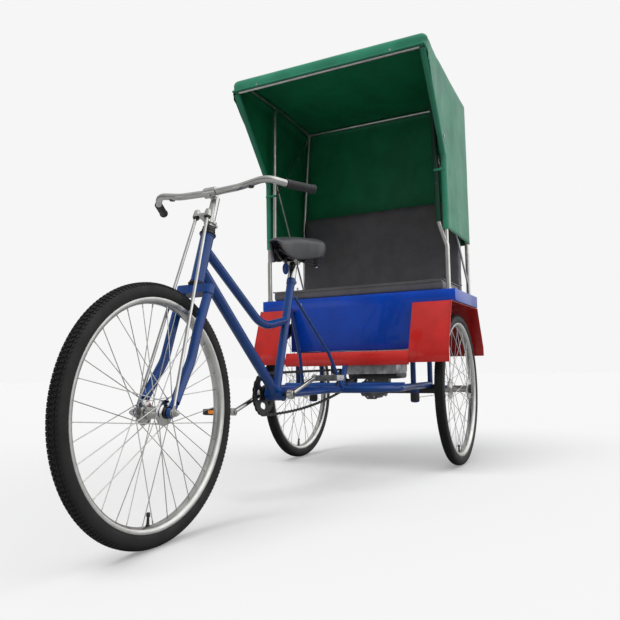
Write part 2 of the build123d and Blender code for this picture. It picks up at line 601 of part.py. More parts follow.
# Canopy cloth: roof, sides, rear curtain and front valance as one thin shell, open below and in front
VALANCE_AHEAD = ROOF_FRONT_AHEAD + VALANCE_LEAN
BEYOND = 50.0
CLOTH_OUTLINE = ((VALANCE_AHEAD, VALANCE_BOTTOM), (ROOF_FRONT_AHEAD, ROOF_FRONT_HEIGHT),
                 (ROOF_REAR_AHEAD, ROOF_REAR_HEIGHT), (ROOF_REAR_AHEAD, CURTAIN_BOTTOM),
                 (CURTAIN_FRONT, CURTAIN_BOTTOM), (CURTAIN_FRONT, KINK_HEIGHT))
CLOTH_HOLLOW = ((VALANCE_AHEAD - CLOTH, VALANCE_BOTTOM),
                (ROOF_FRONT_AHEAD - CLOTH, roof(ROOF_FRONT_AHEAD, CLOTH)),
                (ROOF_REAR_AHEAD + CLOTH, roof(ROOF_REAR_AHEAD, CLOTH)),
                (ROOF_REAR_AHEAD + CLOTH, CURTAIN_BOTTOM - BEYOND),
                (VALANCE_AHEAD + BEYOND, CURTAIN_BOTTOM - BEYOND), (VALANCE_AHEAD + BEYOND, VALANCE_BOTTOM))


def round_topped(outline, half_width, rounding):
    """A block as wide as the cloth, with its two long roof edges rounded."""
    with BuildPart(mode=Mode.PRIVATE) as form:
        with BuildSketch(side_plane(0)):
            with BuildLine():
                Polyline(*outline, close=True)
            make_face()
        extrude(amount=half_width, both=True)
        long_edges = form.edges().filter_by(lambda edge: is_roof_edge(edge, half_width))
        fillet(long_edges, rounding)
    return form.part


def is_roof_edge(edge, half_width):
    """Whether an edge runs fore and aft along one side of the roof."""
    middle = edge @ 0.5
    at_side = abs(abs(middle.Y) - half_width) < 0.1
    return at_side and middle.Z > ROOF_REAR_HEIGHT - CLOTH and abs((edge % 0.5).X) > 0.9


with BuildPart() as canopy:
    add(round_topped(CLOTH_OUTLINE, CLOTH_HALF_WIDTH, ROOF_ROUNDING))
    add(round_topped(CLOTH_HOLLOW, CLOTH_HALF_WIDTH - CLOTH, ROOF_ROUNDING - CLOTH), mode=Mode.SUBTRACT)
finish(canopy.part, "canopy")

# Seat cushion and backrest
with BuildPart() as seat_cushion:
    block((CUSHION_FRONT - CUSHION_REAR, 2 * CUSHION_HALF_WIDTH, CUSHION_TOP - CUSHION_LOW),
          at((CUSHION_FRONT + CUSHION_REAR) / 2, 0, (CUSHION_TOP + CUSHION_LOW) / 2))
    fillet(seat_cushion.edges().group_by(Axis.Z)[-1], CUSHION_EDGE)
finish(seat_cushion.part, "seat_cushion")
BACK_TOP_AHEAD = BACK_FOOT_AHEAD - BACK_LEAN
with BuildPart() as backrest:
    with BuildSketch(side_plane(0)):
        with BuildLine():
            Polyline((BACK_FOOT_AHEAD, CUSHION_LOW), (BACK_TOP_AHEAD, BACK_TOP),
                     (BACK_TOP_AHEAD - BACK_THICKNESS, BACK_TOP),
                     (BACK_FOOT_AHEAD - BACK_THICKNESS, CUSHION_LOW), close=True)
        make_face()
    extrude(amount=CUSHION_HALF_WIDTH, both=True)
finish(backrest.part, "backrest")

# Sprocket on its short shaft, the bracket that carries it, and the chain
SPROCKET_CENTRE = at(SPROCKET_AHEAD, CHAIN_LEFT, SPROCKET_HEIGHT)
RING_CENTRE = at(BRACKET_AHEAD, CHAIN_LEFT, BRACKET_HEIGHT)
with BuildPart() as sprocket:
    disc(SPROCKET_CENTRE, SPROCKET_RADIUS, CHAINRING_THICKNESS)
    rod(at(SPROCKET_AHEAD, CHAIN_LEFT - 12, SPROCKET_HEIGHT), at(SPROCKET_AHEAD, 34, SPROCKET_HEIGHT),
        SPROCKET_SHAFT_RADIUS)
finish(sprocket.part, "sprocket")
BRACKET_EYES = ((SPROCKET_AHEAD, SPROCKET_HEIGHT, 18.0), (CROSS_TUBE_AHEAD, CROSS_TUBE_HEIGHT, 16.0))
with BuildPart() as sprocket_bracket:
    for left in (-26, 24):
        with BuildSketch(side_plane(left)):
            for ahead, height, radius in BRACKET_EYES:
                with Locations((ahead, height)):
                    Circle(radius)
            make_hull()
        extrude(amount=BRACKET_PLATE / 2, both=True)
    for neighbour in (sprocket, rear_hoop, chassis_posts):
        add(neighbour.part, mode=Mode.SUBTRACT)
finish(sprocket_bracket.part, "sprocket_bracket")
CHAIN_TURNS = ((BRACKET_AHEAD, BRACKET_HEIGHT, CHAINRING_RADIUS + CHAIN_CLEARANCE),
               (SPROCKET_AHEAD, SPROCKET_HEIGHT, SPROCKET_RADIUS + SEAT_GAP))
with BuildPart() as chain:
    for thickness, mode in ((CHAIN_DEPTH, Mode.ADD), (0, Mode.SUBTRACT)):
        with BuildSketch(side_plane(CHAIN_LEFT)):
            for ahead, height, radius in CHAIN_TURNS:
                with Locations((ahead, height)):
                    Circle(radius + thickness)
            make_hull()
        extrude(amount=CHAIN_WIDTH / 2, both=True, mode=mode)
finish(chain.part, "chain")

# Spindle, chainring with five windows, cranks and pedals
with BuildPart() as spindle:
    disc(BRACKET_CENTRE, SPINDLE_RADIUS, 2 * (CRANK_ROOT_LEFT + 10))
finish(spindle.part, "spindle")
with BuildPart() as chainring:
    disc(RING_CENTRE, CHAINRING_RADIUS, CHAINRING_THICKNESS)
    with BuildSketch(Plane(origin=RING_CENTRE, x_dir=(1, 0, 0), z_dir=(0, 1, 0))):
        with PolarLocations(CHAINRING_RADIUS - WINDOW_INSET, 5):
            SlotOverall(WINDOW_LENGTH, WINDOW_DEPTH, rotation=90)
    extrude(amount=CHAINRING_THICKNESS, both=True, mode=Mode.SUBTRACT)
    disc(RING_CENTRE, BRACKET_RADIUS + 1, 4 * CHAINRING_THICKNESS)
    disc(RING_CENTRE, SPINDLE_RADIUS, 10 * CHAINRING_THICKNESS, mode=Mode.SUBTRACT)
finish(chainring.part, "chainring")
CRANK_SIDES = (("crank_left", "pedal_left", 1, 0), ("crank_right", "pedal_right", -1, 180))
for name, pedal_name, side, turn in CRANK_SIDES:
    angle = radians(CRANK_ANGLE + turn)
    tip_ahead = BRACKET_AHEAD + CRANK_LENGTH * cos(angle)
    tip_height = BRACKET_HEIGHT + CRANK_LENGTH * sin(angle)
    root = at(BRACKET_AHEAD, side * CRANK_ROOT_LEFT, BRACKET_HEIGHT)
    tip = at(tip_ahead, side * CRANK_TIP_LEFT, tip_height)
    with BuildPart() as crank:
        disc(root, CRANK_BOSS_RADIUS, CRANK_THICKNESS + 4)
        disc(tip, CRANK_TIP_RADIUS, CRANK_THICKNESS)
        rod(root, tip, CRANK_ARM_RADIUS)
        disc(BRACKET_CENTRE, SPINDLE_RADIUS, 4 * CRANK_ROOT_LEFT, mode=Mode.SUBTRACT)
    finish(crank.part, name)
    with BuildPart() as pedal:
        pedal_left = side * (CRANK_TIP_LEFT + CRANK_THICKNESS / 2 + PEDAL_GAP + PEDAL_LENGTH / 2)
        block((PEDAL_WIDTH, PEDAL_LENGTH, PEDAL_DEPTH), at(tip_ahead, pedal_left, tip_height))
        rod(tip, at(tip_ahead, pedal_left, tip_height), PEDAL_PIN_RADIUS)
        add(crank.part, mode=Mode.SUBTRACT)
    finish(pedal.part, pedal_name)

# Fork stays: where the rods start at the stem's bracket and end on the front axle
TAB_OUTER = TAB_LEFT + TAB_THICKNESS / 2
STAY_EYE_LEFT = TAB_OUTER + SEAT_GAP + STAY_EYE_THICKNESS / 2
STAY_PLANE = Plane(origin=along_axis(STAY_RISE), x_dir=AXIS_FORWARD, z_dir=AXIS_UP)


def above_stay_plane(side, rise):
    """A point over one fork stay's hole in the stem's bracket."""
    return tuple(STAY_PLANE.from_local_coords((STAY_REACH, side * STAY_TOP_LEFT, rise)))


def stay_ends(side):
    """The upper and lower end of one fork stay."""
    return above_stay_plane(side, BRACKET_PLATE), at(WHEELBASE, side * STAY_EYE_LEFT, AXLE_HEIGHT)


# Fork: steerer, crown and two curved blades with axle tabs
CROWN_CENTRE = -LOWER_CUP - SEAT_GAP - CROWN_DEPTH / 2
BLADE_ROUTE = ((HEAD_BOTTOM_AHEAD + 9, 50, HEAD_BOTTOM_HEIGHT - 27),
               (HEAD_BOTTOM_AHEAD + 64, 47, HEAD_BOTTOM_HEIGHT - 152),
               (HEAD_BOTTOM_AHEAD + 94, 48, HEAD_BOTTOM_HEIGHT - 232),
               (WHEELBASE - 6, TAB_LEFT, AXLE_HEIGHT + 10))
FRONT_AXLE_CENTRE = at(WHEELBASE, 0, AXLE_HEIGHT)
with BuildPart() as fork:
    rod(along_axis(CROWN_CENTRE), along_axis(HEAD_LENGTH + UPPER_CUP), STEERER_RADIUS)
    with Locations(Plane(origin=along_axis(CROWN_CENTRE), x_dir=(0, 1, 0), z_dir=AXIS_UP)):
        Box(2 * CROWN_HALF_WIDTH, CROWN_LENGTH, CROWN_DEPTH)
    for side in (-1, 1):
        with Locations(Plane(origin=along_axis(CROWN_CENTRE), x_dir=(0, side, 0), z_dir=AXIS_UP)):
            with Locations((CROWN_HALF_WIDTH, 0)):
                Cylinder(CROWN_LENGTH / 2, CROWN_DEPTH)
        route = [at(ahead, side * left, height) for ahead, left, height in BLADE_ROUTE]
        bent_tube(route, BLADE_BEND, BLADE_RADIUS)
        disc(at(WHEELBASE, side * TAB_LEFT, AXLE_HEIGHT), TAB_RADIUS, TAB_THICKNESS)
        disc(at(WHEELBASE, side * (TAB_OUTER + 15), AXLE_HEIGHT), 34, 30, mode=Mode.SUBTRACT)
    disc(FRONT_AXLE_CENTRE, 46, 2 * (TAB_LEFT - TAB_THICKNESS / 2), mode=Mode.SUBTRACT)
    disc(FRONT_AXLE_CENTRE, FRONT_AXLE_RADIUS, 3 * FRONT_AXLE_HALF, mode=Mode.SUBTRACT)
    for side in (-1, 1):
        stay_top, stay_foot = stay_ends(side)
        run = Line(stay_top, stay_foot, mode=Mode.PRIVATE)
        with Locations(Plane(origin=run @ 0.5, z_dir=run % 0)):
            Cylinder(STAY_RADIUS + SEAT_GAP, run.length, mode=Mode.SUBTRACT)
finish(fork.part, "fork")

# Handlebar: a rising centre, two sweeps back and the grips, as (ahead, left, up) from its clamp
BAR_ROUTE = ((-2, 0, 0), (13, 112, -2), (4, 206, 16), (-45, 250, 3))
BAR_BENDS = [70, 110, 300, 110, 70]
GRIP_END = (-134, 300, -2)


def from_clamp(place, side):
    """A place measured from the handlebar's clamp, on one side."""
    ahead, left, up = place
    return at(BAR_AHEAD + ahead, side * left, BAR_HEIGHT + up)


with BuildPart() as handlebar:
    left_half = [from_clamp(place, 1) for place in BAR_ROUTE[:0:-1]]
    right_half = [from_clamp(place, -1) for place in BAR_ROUTE]
    bent_tube(left_half + right_half, BAR_BENDS, BAR_RADIUS)
finish(handlebar.part, "handlebar")
for name, side in (("grip_left", 1), ("grip_right", -1)):
    with BuildPart() as grip:
        rod(from_clamp(BAR_ROUTE[-1], side), from_clamp(GRIP_END, side), GRIP_RADIUS)
        add(handlebar.part, mode=Mode.SUBTRACT)
    finish(grip.part, name)

# Stem: a quill on the steering axis with a clamp that holds the handlebar
with BuildPart() as stem:
    rod(along_axis(STEM_FOOT), along_axis(STEM_TOP), STEERER_RADIUS)
    rod(along_axis(STEM_TOP - 4), at(BAR_AHEAD, 0, BAR_HEIGHT), STEM_LUG_RADIUS)
    disc(at(BAR_AHEAD, 0, BAR_HEIGHT), BAR_RADIUS + CLAMP_WALL, BAR_CLAMP_WIDTH)
    add(handlebar.part, mode=Mode.SUBTRACT)
finish(stem.part, "stem")
with BuildPart() as locknut:
    rod(along_axis(STEM_FOOT), along_axis(STEM_FOOT + LOCKNUT_DEPTH), LOCKNUT_RADIUS)
    add(stem.part, mode=Mode.SUBTRACT)
finish(locknut.part, "locknut")

# Stay rods from the stem's bracket to the front axle, one each side of the tyre
with BuildPart() as stay_bracket:
    with BuildSketch(STAY_PLANE):
        Circle(STEERER_RADIUS + CLAMP_WALL)
        with Locations((STAY_REACH, 0)):
            SlotOverall(2 * (STAY_TOP_LEFT + STAY_EYE_RADIUS), 20, rotation=90)
        with Locations((STAY_REACH / 2 + 4, 0)):
            Rectangle(STAY_REACH - 8, 22)
    extrude(amount=BRACKET_PLATE)
    add(stem.part, mode=Mode.SUBTRACT)
finish(stay_bracket.part, "stay_bracket")
with BuildPart() as fork_stays:
    for side in (-1, 1):
        top, foot = stay_ends(side)
        rod(top, foot, STAY_RADIUS)
        disc(foot, STAY_EYE_RADIUS, STAY_EYE_THICKNESS)
        nut_foot = above_stay_plane(side, BRACKET_PLATE + SEAT_GAP)
        rod(nut_foot, above_stay_plane(side, BRACKET_PLATE + CAP_NUT_HEIGHT), CAP_NUT_RADIUS)
    disc(FRONT_AXLE_CENTRE, FRONT_AXLE_RADIUS, 4 * FRONT_AXLE_HALF, mode=Mode.SUBTRACT)
    disc(FRONT_AXLE_CENTRE, 20, 2 * (TAB_OUTER + SEAT_GAP), mode=Mode.SUBTRACT)
    for side in (-1, 1):
        beyond_eye = side * (STAY_EYE_LEFT + STAY_EYE_THICKNESS / 2 + 10)
        disc(at(WHEELBASE, beyond_eye, AXLE_HEIGHT), 20, 20, mode=Mode.SUBTRACT)
    add(stay_bracket.part, mode=Mode.SUBTRACT)
finish(fork_stays.part, "fork_stays")

# Front axle with its nuts
with BuildPart() as front_axle:
    disc(FRONT_AXLE_CENTRE, FRONT_AXLE_RADIUS - 0.05, 2 * FRONT_AXLE_HALF)
    nut_left = STAY_EYE_LEFT + STAY_EYE_THICKNESS / 2 + SEAT_GAP + NUT_WIDTH / 2
    for side in (-1, 1):
        disc(at(WHEELBASE, side * nut_left, AXLE_HEIGHT), NUT_RADIUS, NUT_WIDTH)
finish(front_axle.part, "front_axle")


def revolve_outline(outline, centre):
    """Turns a closed outline of (radius, along the axle) round the axle through a point."""
    with BuildSketch(Plane(origin=centre, x_dir=(1, 0, 0), z_dir=(0, 0, 1)), mode=Mode.PRIVATE) as section:
        with BuildLine():
            Polyline(*outline, close=True)
        make_face()
    revolve(section.sketch, axis=Axis(centre, (0, 1, 0)))


def make_wheel(name, ahead, left, flanges, hub_outline):
    """A wire wheel: tyre, rim, hub turned from an outline, and crossed spokes."""
    centre = at(ahead, left, AXLE_HEIGHT)
    bead = RIM_OUTER + SEAT_GAP / 3
    widest = WHEEL_RADIUS - 0.44 * TYRE_WIDTH
    with BuildPart() as tyre:
        revolve_outline(((bead, -BEAD_HALF), (widest, -TYRE_WIDTH / 2), (WHEEL_RADIUS, -TREAD_HALF),
                         (WHEEL_RADIUS, TREAD_HALF), (widest, TYRE_WIDTH / 2), (bead, BEAD_HALF)), centre)
    finish(tyre.part, f"{name}_tyre")
    with BuildPart() as rim:
        wall = RIM_OUTER - RIM_WALL
        revolve_outline(((RIM_OUTER, -RIM_HALF_WIDTH), (RIM_OUTER, RIM_HALF_WIDTH), (wall, RIM_HALF_WIDTH),
                         (RIM_INNER, RIM_WELL_HALF), (RIM_INNER, -RIM_WELL_HALF),
                         (wall, -RIM_HALF_WIDTH)), centre)
    finish(rim.part, f"{name}_rim")
    with BuildPart() as hub:
        revolve_outline(hub_outline, centre)
    finish(hub.part, f"{name}_hub")
    with BuildPart() as spokes:
        for offset, root_radius, start in flanges:
            for spoke in range(SPOKES // 2):
                tip = radians(start + spoke * 720 / SPOKES)
                slant = 1 if spoke % 2 else -1
                root = tip + slant * radians(SPOKE_SLANT)
                side = 1 if offset > 0 else -1
                root_point = (centre[0] + root_radius * cos(root), left + offset + side * slant * SPOKE_PROUD,
                              AXLE_HEIGHT + root_radius * sin(root))
                tip_radius = RIM_INNER - SEAT_GAP
                tip_point = (centre[0] + tip_radius * cos(tip), left + side * SPOKE_TIP_LEFT,
                             AXLE_HEIGHT + tip_radius * sin(tip))
                rod(root_point, tip_point, SPOKE_RADIUS)
    finish(spokes.part, f"{name}_spokes")


# Front hub: two flanges on a barrel that turns on the fixed axle
FRONT_BORE = FRONT_AXLE_RADIUS + PIN_CLEARANCE
FRONT_FLANGE = 34.0
FRONT_HUB = ((FRONT_BORE, -48), (14, -48), (14, -40), (20, -36), (FRONT_FLANGE, -36), (FRONT_FLANGE, -33),
             (22, -33), (17, -28), (17, 28), (22, 33), (FRONT_FLANGE, 33), (FRONT_FLANGE, 36), (20, 36),
             (14, 40), (14, 48), (FRONT_BORE, 48))
front_root = FRONT_FLANGE - FLANGE_HALF
make_wheel("front_wheel", WHEELBASE, 0, ((34.5, front_root, 0), (-34.5, front_root, 10)), FRONT_HUB)

# Rear hubs: each is turned with the shaft that drives it inside the axle tube
REAR_FLANGE = 47.0
rear_root = REAR_FLANGE - FLANGE_HALF
for name, side in (("rear_wheel_left", 1), ("rear_wheel_right", -1)):
    left = side * WHEEL_LEFT
    inner = side * (AXLE_TUBE_START - 3) - left
    outline = [(0, inner), (SHAFT_RADIUS, inner), (SHAFT_RADIUS, side * -HUB_REACH), (17, side * -HUB_REACH),
               (17, side * -36.5), (REAR_FLANGE, side * -36.5), (REAR_FLANGE, side * -33.5),
               (24, side * -33.5), (16, side * -26), (16, side * 41), (24, side * 48.5),
               (REAR_FLANGE, side * 48.5), (REAR_FLANGE, side * 51.5), (19, side * 51.5),
               (19, side * 66), (0, side * 66)]
    make_wheel(name, 0, left, ((side * -35, rear_root, 0), (side * 50, rear_root, 10)), outline)
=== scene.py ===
import math

import bmesh
import bpy
from bpy.props import FloatProperty, FloatVectorProperty, IntProperty, PointerProperty
from mathutils import Matrix, Vector, noise


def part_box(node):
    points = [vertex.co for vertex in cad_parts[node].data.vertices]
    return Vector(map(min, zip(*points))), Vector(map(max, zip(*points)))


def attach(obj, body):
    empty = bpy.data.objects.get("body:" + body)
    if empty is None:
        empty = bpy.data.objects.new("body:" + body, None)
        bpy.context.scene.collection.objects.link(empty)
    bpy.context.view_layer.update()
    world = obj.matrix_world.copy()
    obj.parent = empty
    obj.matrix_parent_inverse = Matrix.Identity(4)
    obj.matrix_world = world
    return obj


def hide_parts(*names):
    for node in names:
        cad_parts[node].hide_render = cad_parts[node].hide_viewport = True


bl_info = {
    "name": "Passenger tricycle dressing",
    "version": (1, 0, 0),
    "blender": (4, 5, 0),
    "location": "View3D > Sidebar > Tricycle",
    "description": "Tyres, seats, canopy, fittings and finishes for an electric passenger tricycle",
    "category": "Object",
}

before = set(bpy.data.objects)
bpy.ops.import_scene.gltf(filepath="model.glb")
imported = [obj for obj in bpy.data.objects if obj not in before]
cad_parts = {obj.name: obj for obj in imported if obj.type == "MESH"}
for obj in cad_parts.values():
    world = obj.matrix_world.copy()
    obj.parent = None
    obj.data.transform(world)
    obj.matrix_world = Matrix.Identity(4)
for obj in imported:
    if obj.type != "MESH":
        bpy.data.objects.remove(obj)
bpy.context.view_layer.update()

MM = 0.001
ACROSS = Vector((0, 1, 0))
WHEELS = ("front_wheel", "rear_wheel_left", "rear_wheel_right")


def middle_of(node):
    """The middle of a node's box."""
    low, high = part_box(node)
    return (low + high) / 2


REAR_AXLE_X = middle_of("rear_wheel_left_tyre").x
WHEEL_RADIUS = middle_of("front_wheel_tyre").z / MM
WHEELBASE = (middle_of("front_wheel_tyre").x - REAR_AXLE_X) / MM
DECK_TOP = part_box("deck")[1].z / MM


def at(ahead, left, up):
    """A place given in mm ahead of the rear axle, to the left and up."""
    return Vector((REAR_AXLE_X + ahead * MM, left * MM, up * MM))


# Steering axis, as in the frame: its foot is the head tube's lower end
HEAD_FOOT = at(WHEELBASE - 198, 0, 2 * WHEEL_RADIUS + 20)
HEAD_LEAN = math.atan(0.361)
AXIS_UP = Vector((-math.sin(HEAD_LEAN), 0, math.cos(HEAD_LEAN)))
AXIS_FORWARD = Vector((math.cos(HEAD_LEAN), 0, math.sin(HEAD_LEAN)))
BRACKET = at(1015, 0, WHEEL_RADIUS + 19)
CHAIN_LEFT = -47
# Heights in mm of the saddle clamp, and of the seat post's head, which is painted black
SADDLE_CLAMP_UP = 890
SEAT_POST_HEAD_UP = 886


def linear(colour):
    """An sRGB hex value as the linear colour that a shader takes."""
    channels = [int(colour[i:i + 2], 16) / 255 for i in (1, 3, 5)]
    return [c / 12.92 if c <= 0.04045 else ((c + 0.055) / 1.055) ** 2.4 for c in channels] + [1.0]


# Settings that a user would change

def colour_setting(name, description, value):
    """A colour for the panel, from its sRGB hex value."""
    return FloatVectorProperty(name=name, description=description, subtype="COLOR", size=4,
                               min=0, max=1, default=linear(value))


class TricycleSettings(bpy.types.PropertyGroup):
    frame_blue: colour_setting("Frame blue", "Enamel of the frame tubes", "#063673")
    box_blue: colour_setting("Box blue", "Enamel of the deck and the seat box", "#003CA4")
    guard_red: colour_setting("Guard red", "Enamel of the mudguards and footboard", "#AA201C")
    canvas_green: colour_setting("Canvas green", "Coated canvas of the canopy", "#26745A")
    vinyl_black: colour_setting("Vinyl black", "Seat vinyl", "#4A484C")
    tread_blocks: IntProperty(name="Tread blocks", description="Blocks in one row round a tyre",
                              default=165, min=60, max=240)
    tread_height: FloatProperty(name="Tread height", description="How far the tread blocks stand out",
                                default=3 * MM, min=0.5 * MM, max=6 * MM, unit="LENGTH")
    chain_pitch: FloatProperty(name="Chain pitch", description="Distance from pin to pin",
                               default=12.7 * MM, min=8 * MM, max=20 * MM, unit="LENGTH")
    canvas_thickness: FloatProperty(name="Canvas thickness", description="Thickness of the canopy cloth",
                                    default=1.4 * MM, min=0.5 * MM, max=3 * MM, unit="LENGTH")
    canvas_sag: FloatProperty(name="Canvas sag", description="How far the cloth sinks between its bars",
                              default=7 * MM, min=0, max=10 * MM, unit="LENGTH")


# Finishes

def add_node(tree, kind, values=None, links=None):
    """Adds a node, sets its properties and sockets, links its inputs and returns it."""
    node = tree.nodes.new(kind)
    for name, value in (values or {}).items():
        if isinstance(name, str) and hasattr(node, name):
            setattr(node, name, value)
        else:
            node.inputs[name].default_value = value
    for name, source in (links or {}).items():
        tree.links.new(source, node.inputs[name])
    return node


def new_material(name, colour, metallic, roughness, **sockets):
    """A material with one principled shader, and its node tree and shader."""
    material = bpy.data.materials.new(name)
    material.use_nodes = True
    tree = material.node_tree
    shader = tree.nodes["Principled BSDF"]
    shader.inputs["Base Color"].default_value = colour
    shader.inputs["Metallic"].default_value = metallic
    shader.inputs["Roughness"].default_value = roughness
    for socket, value in sockets.items():
        shader.inputs[socket.replace("_", " ")].default_value = value
    material.diffuse_color = colour
    return material, tree, shader


def mottle(tree, shader, size, low, high, stretch=(1, 1, 1)):
    """Varies a shader's roughness in patches of a size in mm."""
    place = add_node(tree, "ShaderNodeTexCoord")
    squeeze = add_node(tree, "ShaderNodeMapping", {"Scale": stretch}, {"Vector": place.outputs["Object"]})
    patches = add_node(tree, "ShaderNodeTexNoise", {"Scale": 1 / (size * MM), "Detail": 4.0},
                       {"Vector": squeeze.outputs["Vector"]})
    spread = add_node(tree, "ShaderNodeMapRange",
                      {"From Min": 0.3, "From Max": 0.7, "To Min": low, "To Max": high},
                      {"Value": patches.outputs["Fac"]})
    tree.links.new(spread.outputs["Result"], shader.inputs["Roughness"])
    return squeeze


def tint(tree, shader, source, dark, light, low=0.35, high=0.65):
    """Blends a shader's colour between two along a pattern's value."""
    blend = add_node(tree, "ShaderNodeMapRange", {"From Min": low, "From Max": high}, {"Value": source})
    mix = add_node(tree, "ShaderNodeMix", {"data_type": "RGBA", 6: dark, 7: light},
                   {0: blend.outputs["Result"]})
    tree.links.new(mix.outputs[2], shader.inputs["Base Color"])


def emboss(tree, shader, source, depth, strength=1.0):
    """Raises a shader's surface by a pattern, with a depth in mm."""
    bump = add_node(tree, "ShaderNodeBump", {"Strength": strength, "Distance": depth * MM}, {"Height": source})
    tree.links.new(bump.outputs["Normal"], shader.inputs["Normal"])


def darker(colour, share):
    """A linear colour at a share of its brightness."""
    return [c * share for c in colour[:3]] + [1.0]


def enamel(name, colour):
    """Stoved gloss enamel on steel: a smooth clear-looking skin with a slight orange peel."""
    material, tree, shader = new_material(name, colour, 0.0, 0.3, Specular_IOR_Level=0.2, Coat_Weight=0.35,
                                          Coat_Roughness=0.06)
    place = mottle(tree, shader, 140, 0.22, 0.36)
    peel = add_node(tree, "ShaderNodeTexNoise", {"Scale": 1 / (7 * MM), "Detail": 1.0},
                    {"Vector": place.outputs["Vector"]})
    emboss(tree, shader, peel.outputs["Fac"], 0.12)
    scuffs = add_node(tree, "ShaderNodeTexNoise", {"Scale": 1 / (90 * MM), "Detail": 6.0},
                      {"Vector": place.outputs["Vector"]})
    tint(tree, shader, scuffs.outputs["Fac"], darker(colour, 0.86), darker(colour, 1.06))
    return material


def plated(name, colour, low, high, size=30):
    """Bright plate over steel: a mirror that clouds a little in patches."""
    material, tree, shader = new_material(name, linear(colour), 1.0, low)
    place = mottle(tree, shader, size, low, high)
    cloud = add_node(tree, "ShaderNodeTexNoise", {"Scale": 1 / (45 * MM), "Detail": 5.0},
                     {"Vector": place.outputs["Vector"]})
    tint(tree, shader, cloud.outputs["Fac"], darker(linear(colour), 0.8), linear(colour))
    return material


def blacken(material, height, colour):
    """Turns a plated finish to black paint above a height in mm, as on a seat post's head and rails."""
    tree = material.node_tree
    shader = tree.nodes["Principled BSDF"]
    place = add_node(tree, "ShaderNodeTexCoord")
    split = add_node(tree, "ShaderNodeSeparateXYZ", None, {"Vector": place.outputs["Object"]})
    above = add_node(tree, "ShaderNodeMapRange", {"From Min": (height - 1) * MM, "From Max": (height + 1) * MM},
                     {"Value": split.outputs["Z"]})
    plate = shader.inputs["Base Color"].links[0].from_socket
    mix = add_node(tree, "ShaderNodeMix", {"data_type": "RGBA", 7: linear(colour)},
                   {0: above.outputs["Result"], 6: plate})
    tree.links.new(mix.outputs[2], shader.inputs["Base Color"])
    metal = add_node(tree, "ShaderNodeMapRange", {"To Min": 1.0, "To Max": 0.0},
                     {"Value": above.outputs["Result"]})
    tree.links.new(metal.outputs["Result"], shader.inputs["Metallic"])


def cast_metal(name, colour):
    """Sand-cast alloy: dull, with the pits of the mould."""
    material, tree, shader = new_material(name, linear(colour), 0.75, 0.5)
    place = mottle(tree, shader, 25, 0.42, 0.62)
    pits = add_node(tree, "ShaderNodeTexNoise", {"Scale": 1 / (1.6 * MM), "Detail": 3.0},
                    {"Vector": place.outputs["Vector"]})
    emboss(tree, shader, pits.outputs["Fac"], 0.35)
    grime = add_node(tree, "ShaderNodeTexNoise", {"Scale": 1 / (30 * MM), "Detail": 5.0},
                     {"Vector": place.outputs["Vector"]})
    tint(tree, shader, grime.outputs["Fac"], darker(linear(colour), 0.55), linear(colour))
    return material


def moulded(name, colour, low, high, grain, depth, **sockets):
    """Moulded rubber or plastic: even colour, and a fine grain that scatters the light."""
    material, tree, shader = new_material(name, linear(colour), 0.0, low, **sockets)
    place = mottle(tree, shader, 40, low, high)
    skin = add_node(tree, "ShaderNodeTexNoise", {"Scale": 1 / (grain * MM), "Detail": 2.0},
                    {"Vector": place.outputs["Vector"]})
    emboss(tree, shader, skin.outputs["Fac"], depth)
    dust = add_node(tree, "ShaderNodeTexNoise", {"Scale": 1 / (60 * MM), "Detail": 6.0},
                    {"Vector": place.outputs["Vector"]})
    tint(tree, shader, dust.outputs["Fac"], linear(colour), darker(linear(colour), 1.35), 0.4, 0.75)
    return material


def grained_vinyl(name, colour):
    """Leathercloth: pebbled cells about 2 mm across under a satin skin, drawn a little coarse to show, with
    painted shade in the hollows of its broad creases.
    """
    material, tree, shader = new_material(name, colour, 0.0, 0.45, Sheen_Weight=0.15, Sheen_Roughness=0.5)
    place = mottle(tree, shader, 120, 0.4, 0.52)
    pebbles = add_node(tree, "ShaderNodeTexVoronoi", {"Scale": 1 / (2.4 * MM), "feature": "DISTANCE_TO_EDGE"},
                       {"Vector": place.outputs["Vector"]})
    creases_and_shade = add_node(tree, "ShaderNodeTexNoise", {"Scale": 1 / (70 * MM), "Detail": 3.0},
                       {"Vector": place.outputs["Vector"]})
    fine = add_node(tree, "ShaderNodeBump", {"Strength": 0.4, "Distance": 0.3 * MM},
                    {"Height": pebbles.outputs["Distance"]})
    broad = add_node(tree, "ShaderNodeBump", {"Strength": 0.35, "Distance": 6 * MM},
                     {"Height": creases_and_shade.outputs["Fac"], "Normal": fine.outputs["Normal"]})
    tree.links.new(broad.outputs["Normal"], shader.inputs["Normal"])
    # The colour darkens in the hollows of the broad creases: painted shade.
    tint(tree, shader, creases_and_shade.outputs["Fac"], darker(colour, 0.85), darker(colour, 1.1))
    return material


